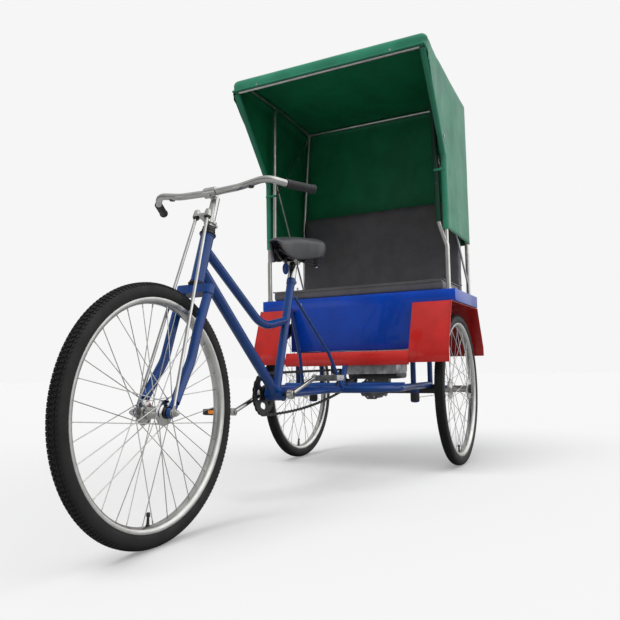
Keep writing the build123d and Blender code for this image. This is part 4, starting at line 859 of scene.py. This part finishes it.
class TRICYCLE_OT_chain(bpy.types.Operator):
    """A roller chain with side plates and pins, and the teeth that it runs on"""
    bl_idname = "tricycle.chain"
    bl_label = "Chain and teeth"

    def execute(self, context):
        pitch = context.scene.tricycle.chain_pitch
        mesh = bmesh.new()
        places = chain_places(pitch)
        for i, (spot, heading) in enumerate(places):
            following = places[(i + 1) % len(places)][0]
            run = following - spot
            turned = Matrix.Rotation(-math.atan2(run.z, run.x), 4, "Y")
            half, tall = (3.9, 5.6) if i % 2 else (2.7, 4.3)
            for side in (-1, 1):
                flat = Matrix.Diagonal(((run.length + 8 * MM) / 2, tall * MM, 0.6 * MM, 1))
                place = Matrix.Translation((spot + following) / 2 + ACROSS * side * half * MM) @ turned
                bmesh.ops.create_cone(mesh, cap_ends=True, segments=8, radius1=1, radius2=1, depth=2,
                                      matrix=place @ Matrix.Rotation(math.pi / 2, 4, "X") @ flat)
            rod(mesh, spot - ACROSS * 4.2 * MM, spot + ACROSS * 4.2 * MM, 2.6, sides=6)
        piece("chain_links", mesh, "black_steel", "chassis", ["chain"], tidy=False)
        for name, body, (centre, radius), tip in (
                ("chainring_teeth", "crankset", chain_route()[0], CHAIN_RING),
                ("sprocket_teeth", "chassis", chain_route()[1], CHAIN_SPROCKET)):
            teeth = bmesh.new()
            count = round(math.tau * radius / pitch)
            root = tip - 6.5
            place = Matrix.Translation(centre + Vector(((tip - 3.5) * MM, 0, 0)))
            made = bmesh.ops.create_cone(teeth, cap_ends=True, segments=4, radius1=5.4 * MM, radius2=1.6 * MM,
                                         depth=8 * MM, matrix=place @ Matrix.Rotation(math.pi / 2, 4, "Y")
                                         @ Matrix.Rotation(math.pi / 4, 4, "Z"))
            bmesh.ops.scale(teeth, vec=(1, 0.3, 1), space=Matrix.Translation(-centre), verts=made["verts"])
            repeat_round(teeth, centre, count)
            turn(teeth, ((root - 3, -1.4), (root + 1, -1.4), (root + 1, 1.4), (root - 3, 1.4)), centre,
                 ACROSS, 64)
            piece(name, teeth, "black_steel", body, tidy=False)
        return {"FINISHED"}


class TRICYCLE_OT_pedals(bpy.types.Operator):
    """Pedals with a black cage, rubber treads and amber reflectors, and the crank bolts"""
    bl_idname = "tricycle.pedals"
    bl_label = "Pedals"

    def execute(self, context):
        bolts = bmesh.new()
        sockets = bmesh.new()
        for name, side in (("left", 1), ("right", -1)):
            low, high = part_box(f"pedal_{name}")
            inner = (low.y if side > 0 else high.y) + side * 7 * MM
            outer = high.y if side > 0 else low.y
            centre = Vector(((low.x + high.x) / 2, (inner + outer) / 2, (low.z + high.z) / 2))
            length = abs(outer - inner) / MM
            cage = bmesh.new()
            for end in (-1, 1):
                block(cage, centre + ACROSS * end * (length / 2 - 3) * MM, (64, 5, 20), edge=2)
            rod(cage, centre - ACROSS * (length / 2 + 7) * MM, centre + ACROSS * (length / 2 + 1) * MM, 8.5)
            piece(f"pedal_{name}_cage", cage, "light_alloy" if side > 0 else "black_plastic", "crankset",
                  [f"pedal_{name}"])
            treads = bmesh.new()
            ambers = bmesh.new()
            for end in (-1, 1):
                row = centre + Vector((end * 24 * MM, 0, 0))
                block(treads, row, (17, length - 8, 21), edge=2)
                for notch in range(7):
                    spot = row + ACROSS * (notch - 3) * 11 * MM
                    block(treads, spot, (18.5, 6, 22), edge=1)
                block(ambers, row + Vector((end * 8.6 * MM, 0, 0)), (2.6, 46, 13), edge=0.8)
            piece(f"pedal_{name}_treads", treads, "cast_alloy" if side > 0 else "grip_rubber", "crankset")
            piece(f"pedal_{name}_reflectors", ambers, "cast_alloy" if side > 0 else "amber", "crankset")
            root = BRACKET + ACROSS * side * 71 * MM
            turn(bolts, ((6.5, 0), (12.5, 0), (12.5, 1.6), (11, 2.8), (6.5, 2.8)), root, ACROSS * side, 24)
            block(sockets, root + ACROSS * side * MM, (9, 2.6, 9), edge=0.6)
            tip = Vector((centre.x, side * 78.5 * MM, centre.z))
            turn(bolts, ((0, 0), (7, 0), (7, 2), (0, 2.4)), tip, -ACROSS * side, 20)
        piece("crank_bolts", bolts, "chrome", "crankset")
        piece("crank_sockets", sockets, "black_steel", "crankset")
        return {"FINISHED"}


# Body panels

DECK_FRONT = (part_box("deck")[1].x - REAR_AXLE_X) / MM
# Outer edge of a mudguard: mm from the middle, and corners as (ahead, up)
GUARD_LEFT = 480
GUARD_OUTLINE = ((378, 484), (378, 543), (300, 751.7), (-232, 751.7), (-345, 555), (-345, 514))


class TRICYCLE_OT_panels(bpy.types.Operator):
    """Folded sheet panels with rounded folds, the box's front sheet and the beads along the mudguards' edges"""
    bl_idname = "tricycle.panels"
    bl_label = "Panels"

    def execute(self, context):
        for node, finish, edge in (
                ("deck", "box_blue", 1.4), ("seat_box", "box_blue", 1.4), ("mudguard_left", "guard_red", 1.4),
                ("mudguard_right", "guard_red", 1.4), ("footboard", "guard_red", 1.4)):
            mesh = merged_copy(node)
            round_edges(mesh, edge)
            piece(f"{node}_panel", mesh, finish, "chassis", [node], tidy=False)
        front = bmesh.new()
        corners = ((489, DECK_TOP - 1.5), (489, DECK_TOP - 54), (329.6, DECK_TOP - 54), (329.6, DECK_TOP - 259))
        outline = [front.verts.new(at(DECK_FRONT - 0.5, left, up)) for left, up in
                   [*corners, *((-left, up) for left, up in reversed(corners))]]
        sheet = bmesh.ops.extrude_face_region(front, geom=[front.faces.new(outline)])
        bmesh.ops.translate(front, vec=(1.6 * MM, 0, 0),
                            verts=[v for v in sheet["geom"] if isinstance(v, bmesh.types.BMVert)])
        bmesh.ops.recalc_face_normals(front, faces=front.faces)
        round_edges(front, 0.7)
        piece("box_front_sheet", front, "box_blue", "chassis", tidy=False)
        beads = bmesh.new()
        for side in (-1, 1):
            for start, end in zip(GUARD_OUTLINE, GUARD_OUTLINE[1:]):
                rod(beads, at(start[0], side * GUARD_LEFT, start[1]), at(end[0], side * GUARD_LEFT, end[1]),
                    2.4, sides=10)
        piece("guard_beads", beads, "guard_red", "chassis")
        return {"FINISHED"}


class TRICYCLE_OT_frame_fittings(bpy.types.Operator):
    """Weld beads, lug bolts, bump rubbers and brake rods on the frame"""
    bl_idname = "tricycle.frame_fittings"
    bl_label = "Frame fittings"

    def execute(self, context):
        beads = bmesh.new()
        for along in (2, 163):
            turn(beads, ((20.4, -2.6), (22.8, -1.8), (23.2, 0), (22.8, 1.8), (20.4, 2.6)),
                 HEAD_FOOT + AXIS_UP * along * MM, AXIS_UP, 40)
        for side in (-1, 1):
            turn(beads, ((22, -3), (24.4, -2), (24.8, 0), (24.4, 2.6), (22, 2.6)),
                 BRACKET + ACROSS * side * 31.4 * MM, ACROSS * side, 40)
        seat_top = at(877, 0, 815)
        slope = (seat_top - BRACKET).normalized()
        turn(beads, ((12.7, -22), (17.4, -22), (17.8, -20), (17.8, -1.5), (17, 0), (12.7, 0)), seat_top,
             slope, 40)
        for side in (-1, 1):
            ear = seat_top - slope * 11 * MM + Vector((-19 * MM, side * 5 * MM, -2 * MM))
            block(beads, ear, (12, 5, 18), edge=1.5)
        piece("frame_lugs", beads, "frame_blue", "chassis")
        bolts = bmesh.new()
        ear = seat_top - slope * 11 * MM + Vector((-20 * MM, 0, -2 * MM))
        rod(bolts, ear - ACROSS * 12 * MM, ear + ACROSS * 12 * MM, 3)
        for side in (-1, 1):
            nut(bolts, ear + ACROSS * side * 8 * MM, ACROSS * side, 10, 5)
            nut(bolts, at(852, side * 25, 716), (0, side, 0), 9, 4)
            nut(bolts, at(858, side * 15, 777), (0, side, 0), 9, 4)
        piece("frame_bolts", bolts, "zinc_steel", "chassis")
        rubbers = bmesh.new()
        for side in (-1, 1):
            turn(rubbers, ((0, -4), (9, -3.6), (15, -2), (19, 1), (20.8, 5), (20.8, 42), (0, 42)),
                 at(165, side * 262, 303), (0, 0, 1), 28)
        piece("bump_rubbers", rubbers, "grip_rubber", "chassis")
        brake = bmesh.new()
        for side in (1, -1):
            rod(brake, at(150, side * 268, 322), at(38, side * 352, 332), 2)
        piece("brake_rods", brake, "zinc_steel", "chassis")
        return {"FINISHED"}


class TRICYCLE_OT_motor(bpy.types.Operator):
    """A ribbed cast motor case and the bolted cover of the differential"""
    bl_idname = "tricycle.motor"
    bl_label = "Motor"

    def execute(self, context):
        low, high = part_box("motor")
        centre = (low + high) / 2
        size = (high - low) / MM
        case = bmesh.new()
        body = Vector((centre.x, centre.y, low.z + 54 * MM))
        block(case, body, (size.x, size.y, 72), edge=20)
        for groove in range(5):
            left = low.y + (34 + groove * 48) * MM
            block(case, Vector((body.x, left, body.z + 2 * MM)), (size.x + 1.6, 20, 52), edge=3)
        piece("motor_case", case, "light_alloy", "chassis", ["motor"])
        belly = bmesh.new()
        block(belly, Vector((centre.x, centre.y + 6 * MM, low.z + 17 * MM)),
              (size.x - 12, size.y - 22, 34), edge=10)
        block(belly, at(188, -139, 451), (8, 26, 68), edge=3)
        block(belly, at(188, -139, 481), (60, 26, 8), edge=2)
        piece("motor_belly", belly, "black_steel", "chassis")
        bolts = bmesh.new()
        for groove in range(5):
            left = low.y + (10 + groove * 62) * MM
            nut(bolts, Vector((high.x - 0.5 * MM, left, low.z + 40 * MM)), (1, 0, 0), 9, 4)
        nut(bolts, at(192, -139, 432), (1, 0, 0), 13, 7)
        axle = at(0, 0, WHEEL_RADIUS)
        for i in range(8):
            angle = (i + 0.5) / 8 * math.tau
            spot = axle + Vector((55, 4 + 44 * math.cos(angle), 4 + 44 * math.sin(angle))) * MM
            nut(bolts, spot, (1, 0, 0), 8, 4)
        piece("motor_bolts", bolts, "zinc_steel", "chassis")
        gear = bmesh.new()
        middle = axle + Vector((0, 4, 4)) * MM
        for near, far, radius in ((-50, 40, 54), (38, 55, 58)):
            bmesh.ops.create_cone(gear, cap_ends=True, segments=8, radius1=radius * MM, radius2=radius * MM,
                                  depth=(far - near) * MM,
                                  matrix=Matrix.Translation(middle + Vector(((near + far) / 2 * MM, 0, 0)))
                                  @ Matrix.Rotation(math.pi / 2, 4, "Y") @ Matrix.Rotation(math.pi / 8, 4, "Z"))
        round_edges(gear, 3)
        block(gear, axle + Vector((34, 52, 34)) * MM, (46, 92, 50), edge=9)
        for left in (-62, 58):
            turn(gear, ((0, left), (36, left), (38, left + 2), (38, left + 4), (0, left + 4)), axle, ACROSS, 40)
        for left in (44, 58):
            turn(gear, ((0, left), (46, left), (47.5, left + 1.5), (47.5, left + 4), (46, left + 5.5),
                        (0, left + 5.5)), axle + Vector((12, 0, 22)) * MM, ACROSS, 48)
        piece("differential_case", gear, "cast_alloy", "chassis", ["differential"], tidy=False)
        return {"FINISHED"}


# Passenger seat

def stuffed(name, node, inset, cap, pressure=3.0, voxel=9.0):
    """A node's shape as stuffed vinyl: remeshed, blown up as cloth, and held near its start."""
    source = merged_copy(node)
    low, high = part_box(node)
    centre = (low + high) / 2
    shrink = [1 - 2 * inset * MM / (high[i] - low[i]) for i in range(3)]
    bmesh.ops.scale(source, vec=shrink, space=Matrix.Translation(-centre), verts=source.verts)
    data = bpy.data.meshes.new(name)
    source.to_mesh(data)
    source.free()
    made = bpy.data.objects.new(name, data)
    bpy.context.scene.collection.objects.link(made)
    remesh = made.modifiers.new("remesh", "REMESH")
    remesh.mode = "VOXEL"
    remesh.voxel_size = voxel * MM
    graph = bpy.context.evaluated_depsgraph_get()
    start = bpy.data.meshes.new_from_object(made.evaluated_get(graph))
    made.modifiers.clear()
    made.data = start
    rest = [v.co.copy() for v in start.vertices]
    cloth = made.modifiers.new("cloth", "CLOTH")
    cloth.settings.use_pressure = True
    cloth.settings.uniform_pressure_force = pressure
    cloth.settings.effector_weights.gravity = 0
    for step in range(1, 21):
        bpy.context.scene.frame_set(step)
    graph = bpy.context.evaluated_depsgraph_get()
    blown = bpy.data.meshes.new_from_object(made.evaluated_get(graph))
    made.modifiers.clear()
    for vertex, origin in zip(blown.vertices, rest):
        shift = vertex.co - origin
        if shift.length > cap * MM:
            shift *= cap * MM / shift.length
        vertex.co = origin + shift
    made.data = blown
    bpy.context.scene.frame_set(1)
    return made


def finish_padding(made, finish, body, node):
    """Gives a stuffed piece its finish, rounding, body and place of the node."""
    made.data.materials.clear()
    made.data.materials.append(FINISHES[finish])
    for polygon in made.data.polygons:
        polygon.use_smooth = True
    smooth = made.modifiers.new("rounding", "SUBSURF")
    smooth.levels = smooth.render_levels = 1
    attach(made, body)
    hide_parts(node)


class TRICYCLE_OT_seat(bpy.types.Operator):
    """A stuffed bench cushion and backrest in vinyl, with upholstery tacks"""
    bl_idname = "tricycle.seat"
    bl_label = "Passenger seat"

    def execute(self, context):
        cushion = stuffed("bench_cushion", "seat_cushion", 2.5, 6)
        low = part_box("seat_cushion")[0].z
        for vertex in cushion.data.vertices:
            vertex.co.z = max(vertex.co.z, low + 0.5 * MM)
        finish_padding(cushion, "vinyl_black", "chassis", "seat_cushion")
        back = stuffed("back_pad", "backrest", 3, 5)
        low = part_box("backrest")[0].z
        for vertex in back.data.vertices:
            vertex.co.z = max(vertex.co.z, low + 0.5 * MM)
        finish_padding(back, "vinyl_black", "chassis", "backrest")
        tacks = bmesh.new()
        for side in (-1, 1):
            for ahead, up in ((-120, 1006), (-95, 862)):
                dome(tacks, at(ahead, side * 438, up), (0, side, 0), 5.5, 4)
        piping = bmesh.new()
        low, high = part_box("seat_cushion")
        left, front, up = 436 * MM, high.x - 4 * MM, high.z - 3 * MM
        for side in (-1, 1):
            rod(piping, Vector((low.x, side * left, up)), Vector((front, side * left, up)), 2.4, sides=8)
        rod(piping, Vector((front, -left, up)), Vector((front, left, up)), 2.4, sides=8)
        piece("seat_piping", piping, "vinyl_black", "chassis")
        piece("seat_tacks", tacks, "zinc_steel", "chassis")
        return {"FINISHED"}


# Canopy

ROOF_FRONT = 550
ROOF_REAR = -200
CLOTH_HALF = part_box("canopy")[1].y / MM
ROOF_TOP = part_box("canopy")[1].z / MM
CURTAIN_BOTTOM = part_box("canopy")[0].z / MM
VALANCE_BOTTOM = ROOF_TOP - 62
KINK = (241, ROOF_TOP - 445)
ROOF_BACK_TOP = ROOF_TOP - 48
# Canopy posts and the bars under the roof, in mm ahead of the rear axle
FRONT_POST, REAR_POST = 245, -160
ROOF_BARS = (REAR_POST, 534.7)
# Feet of the canopy posts, in mm from the middle
POST_LEFT = 457
HEM_RADIUS = 13.2


def eased(value):
    """A share from 0 to 1 with soft ends."""
    value = min(max(value, 0.0), 1.0)
    return value * value * (3 - 2 * value)


def canvas_shift(place, normal, sag):
    """How far a point of the canopy cloth moves.

    It sinks between the bars, flares in front and puckers at its ties.
    """
    ahead = (place.x - REAR_AXLE_X) / MM
    left, up = place.y / MM, place.z / MM
    across = max(0.0, 1 - (left / CLOTH_HALF) ** 2)
    along = max(0.0, math.sin(math.pi * min(max((ahead - ROOF_REAR) / (ROOF_FRONT - ROOF_REAR), 0), 1)))
    drop = min(max((up - CURTAIN_BOTTOM) / (ROOF_TOP - CURTAIN_BOTTOM), 0), 1)
    ripple = noise.noise(Vector((ahead / 260, left / 260, up / 190))) * 3.2 * MM
    folds = noise.noise(Vector((ahead / 55, left / 300, up / 420 + 7))) * 1.8 * MM
    flare = eased((ahead - 330) / 200) * eased((up - 1560) / 200) * eased(abs(left) / CLOTH_HALF * 2 - 1)
    outward = ACROSS * math.copysign(8 * MM * flare, left)
    reach = math.dist((ahead, abs(left), up), (ROOF_FRONT, CLOTH_HALF - 8, VALANCE_BOTTOM))
    turned = math.atan2(up - VALANCE_BOTTOM + 12, CLOTH_HALF + 30 - abs(left) + ROOF_FRONT - ahead)
    gather = 4.2 * MM * math.exp(-reach / 62) * math.sin(15 * turned)
    at_bars = max(math.exp(-((ahead - bar) / 34) ** 2) for bar in ROOF_BARS)
    if ahead > ROOF_FRONT - 34 and up > ROOF_TOP - 34:
        return normal * (1.2 * MM + max(0, ripple * 0.5)) + outward
    if abs(normal.z) > 0.7:
        loose = 1 - max(at_bars, eased((abs(left) - 360) / 40))
        return normal * (0.8 * MM + (-sag * across * along + ripple * 0.6) * loose) + outward
    if abs(normal.y) > 0.7:
        tie = math.exp(-(((ahead - KINK[0]) / 60) ** 2 + ((up - KINK[1]) / 90) ** 2))
        slant = (ahead - KINK[0] + 0.42 * (up - KINK[1])) / 10
        pleats = math.sin(slant) * math.exp(-abs(up - KINK[1] + 90) / 150)
        pleats *= math.exp(-max(0, KINK[0] - ahead) / 70)
        inward = sag * 0.7 * math.sin(math.pi * drop) * along
        loose = 1 - math.exp(-((ahead - ROOF_BARS[0]) / 34) ** 2)
        push = (ripple + folds - inward) * loose - 3 * MM * tie + 2.4 * MM * pleats + gather
        return normal * push + outward
    if normal.x < -0.7:
        return normal * (-sag * across * math.sin(math.pi * drop) * 0.8 + ripple)
    swell = 2.5 * MM * math.sin(math.pi * min(max((up - VALANCE_BOTTOM) / 44, 0), 1))
    return normal * (ripple * 0.9 + folds * 1.4 + swell + gather) + outward


class TRICYCLE_OT_canopy(bpy.types.Operator):
    """One sheet of coated canvas over the frame, with hems, ties and snaps"""
    bl_idname = "tricycle.canopy"
    bl_label = "Canopy"

    def execute(self, context):
        settings = context.scene.tricycle
        half = CLOTH_HALF - settings.canvas_thickness / MM
        corners = ((ROOF_FRONT + 3, VALANCE_BOTTOM), (ROOF_FRONT - 1, ROOF_TOP - 2),
                   (ROOF_REAR + 2, ROOF_BACK_TOP - 2), (ROOF_REAR + 2, CURTAIN_BOTTOM),
                   (KINK[0], CURTAIN_BOTTOM), KINK)
        mesh = bmesh.new()
        side = [mesh.verts.new(at(ahead, -half, up)) for ahead, up in corners]
        face = mesh.faces.new(side)
        made = bmesh.ops.extrude_face_region(mesh, geom=[face])
        moved = [v for v in made["geom"] if isinstance(v, bmesh.types.BMVert)]
        bmesh.ops.translate(mesh, verts=moved, vec=ACROSS * 2 * half * MM)
        bmesh.ops.recalc_face_normals(mesh, faces=mesh.faces)
        open_faces = [f for f in mesh.faces if abs(f.normal.y) < 0.5 and (
            f.normal.z < -0.2 or (f.normal.x > 0.5 and f.calc_center_median().z < VALANCE_BOTTOM * MM))]
        bmesh.ops.delete(mesh, geom=open_faces, context="FACES")
        folds = [e for e in mesh.edges if len(e.link_faces) == 2]
        bmesh.ops.bevel(mesh, geom=folds, offset=27 * MM, segments=6, profile=0.5, affect="EDGES", material=-1)
        for count, low, high, direction in (
                (44, ROOF_REAR, ROOF_FRONT, Vector((1, 0, 0))), (48, -half, half, ACROSS),
                (44, CURTAIN_BOTTOM, ROOF_TOP, Vector((0, 0, 1)))):
            for i in range(1, count):
                cut = low + (high - low) * i / count
                spot = at(cut, 0, 0) if direction.x else direction * cut * MM
                bmesh.ops.bisect_plane(mesh, geom=mesh.verts[:] + mesh.edges[:] + mesh.faces[:], dist=1e-6,
                                       plane_co=spot, plane_no=direction)
        flat_area = sum(f.calc_area() for f in mesh.faces)
        mesh.normal_update()
        for vertex in mesh.verts:
            vertex.co += canvas_shift(vertex.co, vertex.normal, settings.canvas_sag)
        cloth = piece("canopy_cloth", mesh, "canopy_green", "chassis", ["canopy"], angle=80, tidy=False)
        # The inner shell takes the darker canvas back, which also holds painted shade.
        cloth.data.materials.append(FINISHES["canopy_inside"])
        skin = cloth.modifiers.new("thickness", "SOLIDIFY")
        skin.thickness = settings.canvas_thickness
        skin.offset = -1
        skin.material_offset = 1
        hems = bmesh.new()
        front = ROOF_FRONT - 15
        for flank in (-1, 1):
            left = flank * (CLOTH_HALF - 14)
            corner = at(front, flank * (CLOTH_HALF - 11), VALANCE_BOTTOM - 6)
            rod(hems, at(KINK[0] + 4, left, KINK[1]), corner, 11.5, 15, sides=20)
            rod(hems, corner, at(front, flank * 443, ROOF_TOP - 20), 15, 11, sides=20)
            rod(hems, at(FRONT_POST, left, CURTAIN_BOTTOM + 2), at(FRONT_POST, left, KINK[1] + 4),
                HEM_RADIUS, sides=20)
            block(hems, at(FRONT_POST, flank * 439, KINK[1] - 64), (30, 58, 13), edge=5)
        half = CLOTH_HALF + 2
        rod(hems, at(ROOF_FRONT + 1, -half, VALANCE_BOTTOM + 3), at(ROOF_FRONT + 1, half, VALANCE_BOTTOM + 3),
            5.5, sides=14)
        piece("canopy_hems", hems, "canopy_green", "chassis")
        # The sleeve round the left front post inside the canopy takes the shaded green: painted shade.
        sleeve = bmesh.new()
        rod(sleeve, at(FRONT_POST, 424, KINK[1] - 300), at(FRONT_POST, 412.5, ROOF_TOP - 82), HEM_RADIUS,
            sides=20)
        piece("canopy_post_sleeve", sleeve, "canopy_shade", "chassis")
        snaps = bmesh.new()
        for left in (322, -337):
            dome(snaps, at(ROOF_FRONT + 5, left, VALANCE_BOTTOM + 8), (1, 0, 0), 5.5, 3.5)
        for flank in (-1, 1):
            for ahead, up in ((510, 1772), (478, 1735), (262, 1500)):
                dome(snaps, at(ahead, flank * (CLOTH_HALF - 3), up), (0, -flank, 0), 5.5, 5)
            dome(snaps, at(254, flank * 422, 1288), (1, -0.2 * flank, 0), 5.5, 4)
        rings = bmesh.new()
        for flank in (-1, 1):
            spot = at(KINK[0] + 8, flank * (CLOTH_HALF - 10), KINK[1] - 4)
            turn(rings, [(15 + 2.2 * math.cos(a), 2.2 * math.sin(a)) for a in
                         (i / 8 * math.tau for i in range(8))], spot, (0.5, flank, 0.35), 28)
        piece("canopy_snaps", snaps, "zinc_steel", "chassis")
        piece("canopy_ties", rings, "canopy_green", "chassis")
        feet = bmesh.new()
        for flank in (-1, 1):
            for ahead in (FRONT_POST, REAR_POST):
                spot = at(ahead, flank * POST_LEFT, DECK_TOP)
                turn(feet, ((10.6, 0.4), (15.5, 0.4), (15.5, 2.4), (12.6, 3.6), (12.4, 8), (10.6, 8)), spot,
                     (0, 0, 1), 32)
        piece("canopy_post_feet", feet, "zinc_steel", "chassis")
        return {"FINISHED"}


# Stage

CAMERA_PLACE = Vector((2.2087, 1.1475, 0.4718))
CAMERA_FORWARD = Vector((-0.88424, -0.46007, 0.08036)).normalized()
CAMERA_ROLL = -0.0184
FLOOR_GLOW = 0.225
FLOOR_SHADE = 0.42
# Bright parts of the studio, as direction, cosines where the glow starts and is full, and its brightness
SOFTBOXES = (
    (Vector((-0.35, 0.9, 0.3)), 0.2, 0.95, 1.4),
    (Vector((0.82, -0.57, 0.0)), 0.955, 0.993, 0.9),
)
PHOTO_SIDE = 620
FOCAL_PIXELS = 635.55
SIGHT_X, SIGHT_Y = 295.46, 316.07
SENSOR = 36
FLOOR_RADIUS = 30
# Grey of the floor as mirrors and bounced light see it
FLOOR_BOUNCE = 0.32
# Brightness of the sky at the horizon and overhead
SKY = (0.14, 0.85)
KEY_PLACE = Vector((0.75, -0.2, 1.5))
KEY_STRENGTH = 2.5
KEY_SPREAD = 35
BACKDROP = linear("#F6F6F6")


class TRICYCLE_OT_stage(bpy.types.Operator):
    """Camera, pale floor and soft light"""
    bl_idname = "tricycle.stage"
    bl_label = "Stage"

    def execute(self, context):
        scene = context.scene
        right = CAMERA_FORWARD.cross(Vector((0, 0, 1))).normalized()
        up = right.cross(CAMERA_FORWARD)
        across = right * math.cos(CAMERA_ROLL) + up * math.sin(CAMERA_ROLL)
        above = up * math.cos(CAMERA_ROLL) - right * math.sin(CAMERA_ROLL)
        data = bpy.data.cameras.new("camera")
        data.sensor_width = SENSOR
        data.lens = FOCAL_PIXELS / PHOTO_SIDE * SENSOR
        data.shift_x = (PHOTO_SIDE / 2 - SIGHT_X) / PHOTO_SIDE
        data.shift_y = (SIGHT_Y - PHOTO_SIDE / 2) / PHOTO_SIDE
        data.clip_start, data.clip_end = 0.05, 100
        camera = bpy.data.objects.new("camera", data)
        turned = Matrix((across, above, -CAMERA_FORWARD)).transposed().to_4x4()
        camera.matrix_world = Matrix.Translation(CAMERA_PLACE) @ turned
        scene.collection.objects.link(camera)
        scene.camera = camera

        floor_mesh = bmesh.new()
        bmesh.ops.create_circle(floor_mesh, cap_ends=True, segments=96, radius=FLOOR_RADIUS)
        floor_data = bpy.data.meshes.new("floor")
        floor_mesh.to_mesh(floor_data)
        floor_mesh.free()
        floor = bpy.data.objects.new("floor", floor_data)
        scene.collection.objects.link(floor)
        shade = (FLOOR_SHADE, FLOOR_SHADE, FLOOR_SHADE, 1)
        floor_paint, tree, shader = new_material("studio_floor", shade, 0.0, 1.0, Specular_IOR_Level=0.0,
                                                 Emission_Color=(1, 1, 1, 1), Emission_Strength=FLOOR_GLOW)
        dim = add_node(tree, "ShaderNodeBsdfDiffuse", {"Color": (FLOOR_BOUNCE, FLOOR_BOUNCE, FLOOR_BOUNCE, 1)})
        rays = add_node(tree, "ShaderNodeLightPath")
        mix = add_node(tree, "ShaderNodeMixShader", None, {
            0: rays.outputs["Is Camera Ray"], 1: dim.outputs["BSDF"], 2: shader.outputs["BSDF"]})
        tree.links.new(mix.outputs["Shader"], tree.nodes["Material Output"].inputs["Surface"])
        floor_paint.cycles.emission_sampling = "NONE"
        floor_data.materials.append(floor_paint)

        world = bpy.data.worlds.new("studio")
        scene.world = world
        world.use_nodes = True
        tree = world.node_tree
        background = tree.nodes["Background"]
        direction = add_node(tree, "ShaderNodeTexCoord")
        split = add_node(tree, "ShaderNodeSeparateXYZ", None, {"Vector": direction.outputs["Generated"]})
        glow = add_node(tree, "ShaderNodeMapRange",
                        {"From Min": 0.0, "From Max": 1.0, "To Min": SKY[0], "To Max": SKY[1]},
                        {"Value": split.outputs["Z"]}).outputs["Result"]
        for source, start, full, level in SOFTBOXES:
            facing = add_node(tree, "ShaderNodeVectorMath",
                              {"operation": "DOT_PRODUCT", 1: source.normalized()},
                              {0: direction.outputs["Generated"]})
            box = add_node(tree, "ShaderNodeMapRange", {"interpolation_type": "SMOOTHSTEP", "From Min": start,
                                                        "From Max": full, "To Min": 0.0, "To Max": level},
                           {"Value": facing.outputs["Value"]})
            glow = add_node(tree, "ShaderNodeMath", {"operation": "ADD"},
                            {0: glow, 1: box.outputs["Result"]}).outputs["Value"]
        background.inputs["Color"].default_value = (1, 1, 1, 1)
        tree.links.new(glow, background.inputs["Strength"])
        seen = add_node(tree, "ShaderNodeBackground", {"Color": BACKDROP, "Strength": 1.0})
        rays = add_node(tree, "ShaderNodeLightPath")
        mix = add_node(tree, "ShaderNodeMixShader", None, {0: rays.outputs["Is Camera Ray"]})
        tree.links.new(background.outputs["Background"], mix.inputs[1])
        tree.links.new(seen.outputs["Background"], mix.inputs[2])
        tree.links.new(mix.outputs["Shader"], tree.nodes["World Output"].inputs["Surface"])

        lamp = bpy.data.lights.new("key_light", "SUN")
        lamp.angle = math.radians(KEY_SPREAD)
        lamp.energy = KEY_STRENGTH
        light = bpy.data.objects.new("key_light", lamp)
        light.matrix_world = axis_place(KEY_PLACE * 5, KEY_PLACE)
        light.visible_glossy = False
        scene.collection.objects.link(light)
        scene.view_settings.view_transform = "Standard"
        return {"FINISHED"}


OPERATORS = (
    TRICYCLE_OT_finishes, TRICYCLE_OT_tyres, TRICYCLE_OT_rims, TRICYCLE_OT_hub_fittings,
    TRICYCLE_OT_head_bearing, TRICYCLE_OT_bar_fittings, TRICYCLE_OT_saddle, TRICYCLE_OT_chain,
    TRICYCLE_OT_pedals, TRICYCLE_OT_panels, TRICYCLE_OT_frame_fittings, TRICYCLE_OT_motor,
    TRICYCLE_OT_seat, TRICYCLE_OT_canopy, TRICYCLE_OT_stage,
)


class TRICYCLE_PT_panel(bpy.types.Panel):
    """Lists the tricycle's settings and pieces"""
    bl_idname = "TRICYCLE_PT_panel"
    bl_label = "Passenger tricycle"
    bl_space_type = "VIEW_3D"
    bl_region_type = "UI"
    bl_category = "Tricycle"

    def draw(self, context):
        for name in TricycleSettings.__annotations__:
            self.layout.prop(context.scene.tricycle, name)
        for operator in OPERATORS:
            self.layout.operator(operator.bl_idname)


CLASSES = (TricycleSettings, *OPERATORS, TRICYCLE_PT_panel)


def register():
    for each in CLASSES:
        bpy.utils.register_class(each)
    bpy.types.Scene.tricycle = PointerProperty(type=TricycleSettings)


def unregister():
    del bpy.types.Scene.tricycle
    for each in reversed(CLASSES):
        bpy.utils.unregister_class(each)


def main():
    register()
    for operator in OPERATORS:
        group, name = operator.bl_idname.split(".")
        getattr(getattr(bpy.ops, group), name)()


if __name__ == "__main__":
    main()
